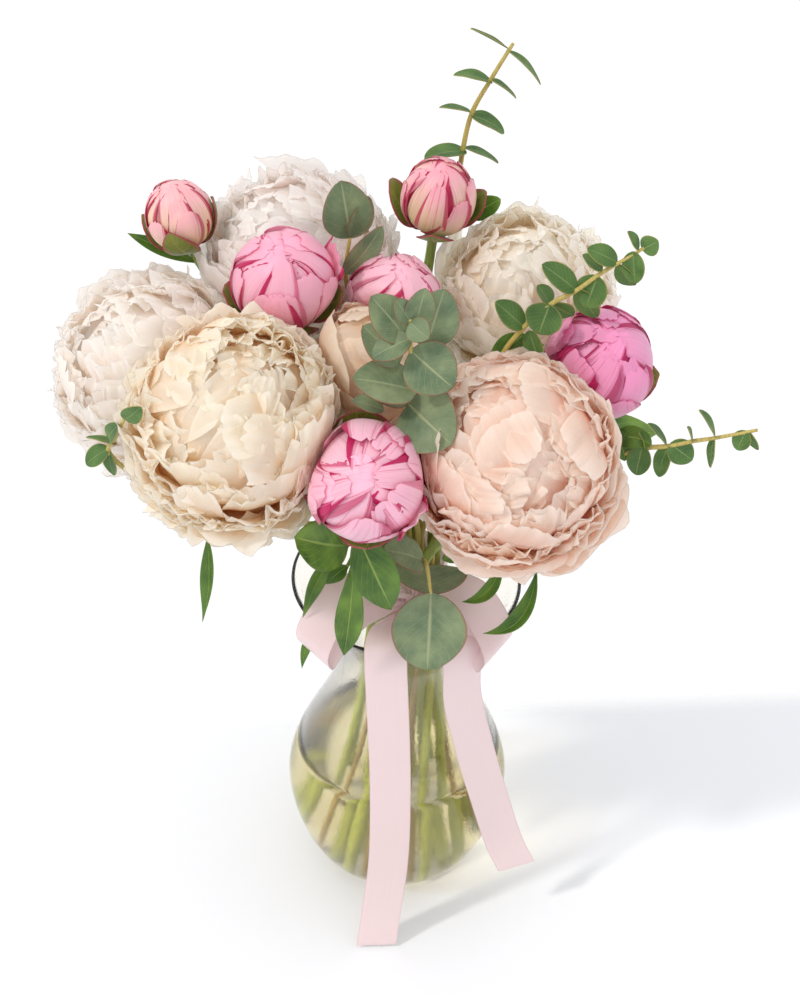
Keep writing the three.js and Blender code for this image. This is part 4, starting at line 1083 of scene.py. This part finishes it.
# A satin ribbon, gathered at the knot to a share of its width, which it regains within some millimetres.
ribbon = {"width": 25, "thickness": 0.35, "gathered": 0.4, "spreading": 40, "pleats": 3, "pleatDepth": 3.2,
          "columns": 12, "steps": 9}
band = {"radius": 24.1, "height": 243, "width": 23, "pleatDepth": 0.4, "steps": 72}
knot = {"centre": (4, -28.5, 243), "half": (6.5, 11), "width": 15, "pleatDepth": 0.9, "steps": 36}
wrapPleats = {"count": 5, "columns": 24}
# each strip's line, and which way its width points at either end of it
strips = {
    "loop_left": {
        "through": [(1, -31, 250), (-14, -40, 263), (-33, -50, 265), (-47, -62, 254), (-53, -70, 240),
                    (-50, -67, 230), (-43, -58, 238), (-33, -50, 248), (-18, -42, 252), (-1, -32, 245)],
        "from": (0.78, -0.5, -0.39), "to": (0.78, -0.5, -0.39), "loop": True},
    "loop_right": {
        "through": [(8, -31, 249), (22, -40, 263), (37, -47, 263), (49, -56, 253), (55, -64, 241),
                    (51, -62, 231), (47, -57, 240), (39, -51, 249), (22, -42, 252), (9, -32, 245)],
        "from": (-0.62, -0.46, -0.63), "to": (-0.62, -0.46, -0.63), "loop": True},
    "tail_middle": {
        "through": [(1, -33, 238), (-6, -50, 243), (-10, -66, 242), (-10, -73, 233), (-8, -75.5, 203),
                    (-4, -75.5, 132), (-3, -79, 66), (-6, -86, 26), (-8, -93, 3)],
        "from": (1, 0.1, 0), "to": (1, 0.1, 0)},
    "tail_right": {
        "through": [(7, -31, 237), (20, -48, 240), (31, -60, 242), (34, -67, 234), (36, -68, 204),
                    (45, -62, 158), (57, -56, 108), (70, -56, 64), (79, -58, 44)],
        "from": (0.85, 0.5, 0), "to": (0.9, 0.4, 0)},
}


def addStrip(name, strip):
    line = smoothLine(strip["through"], ribbon["steps"])
    steps = [0.0]
    for a, b in zip(line, line[1:]):
        steps.append(steps[-1] + (b - a).length)
    length = steps[-1]
    last = len(line) - 1
    bm = newShape()

    def rule(u, v):
        k = round(v * last)
        share = steps[k] / length
        across = Vector(strip["from"]).lerp(Vector(strip["to"]), share).normalized()
        along = (line[min(k + 1, last)] - line[max(k - 1, 0)]).normalized()
        face = along.cross(across).normalized()
        fromKnot = min(share, 1 - share) if strip.get("loop") else share
        spread = min(1, ribbon["gathered"] + fromKnot * length / ribbon["spreading"])
        pleat = (1 - spread) * ribbon["pleatDepth"] * math.cos(ribbon["pleats"] * math.pi * u)
        return line[k] + across * (u * spread * ribbon["width"] / 2) + face * pleat

    addSurface(bm, ribbon["columns"], last, rule)
    piece = addPiece(bm, "satin_" + name, materials["satin"], ["ribbon_" + name],
                     ribbon["thickness"])


# The knot and the turn round the stems are short lengths of the same ribbon, pulled into pleats. A ring is a
# list of places, each with the way out of the ring and the way that the ribbon's width points.
def addWrap(name, ring, wrap):
    bm = newShape()
    last = len(ring) - 1

    def rule(u, v):
        spot, out, across = ring[round(v * last)]
        depth = wrap["pleatDepth"]
        pleat = depth * math.cos(wrapPleats["count"] * math.pi * u) - depth
        return spot + across * (u * wrap["width"] / 2) + out * pleat

    made = addSurface(bm, wrapPleats["columns"], last, rule)
    bmesh.ops.remove_doubles(bm, verts=made, dist=1e-6)
    piece = addPiece(bm, "satin_" + name, materials["satin"], ["ribbon_" + name],
                     ribbon["thickness"])


def bandRing():
    up = Vector((0, 0, 1))
    for k in range(band["steps"] + 1):
        angle = 2 * math.pi * k / band["steps"]
        out = Vector((math.cos(angle), math.sin(angle), 0))
        yield out * band["radius"] + up * band["height"], out, up


def knotRing():
    deep, high = knot["half"]
    for k in range(knot["steps"] + 1):
        angle = 2 * math.pi * k / knot["steps"]
        out = Vector((0, -math.cos(angle), math.sin(angle)))
        spot = Vector(knot["centre"]) + Vector((0, -deep * math.cos(angle), high * math.sin(angle)))
        yield spot, out, Vector((1, 0, 0))


addWrap("band", list(bandRing()), band)
addWrap("knot", list(knotRing()), knot)
for name, strip in strips.items():
    addStrip(name, strip)
print("ribbon made")
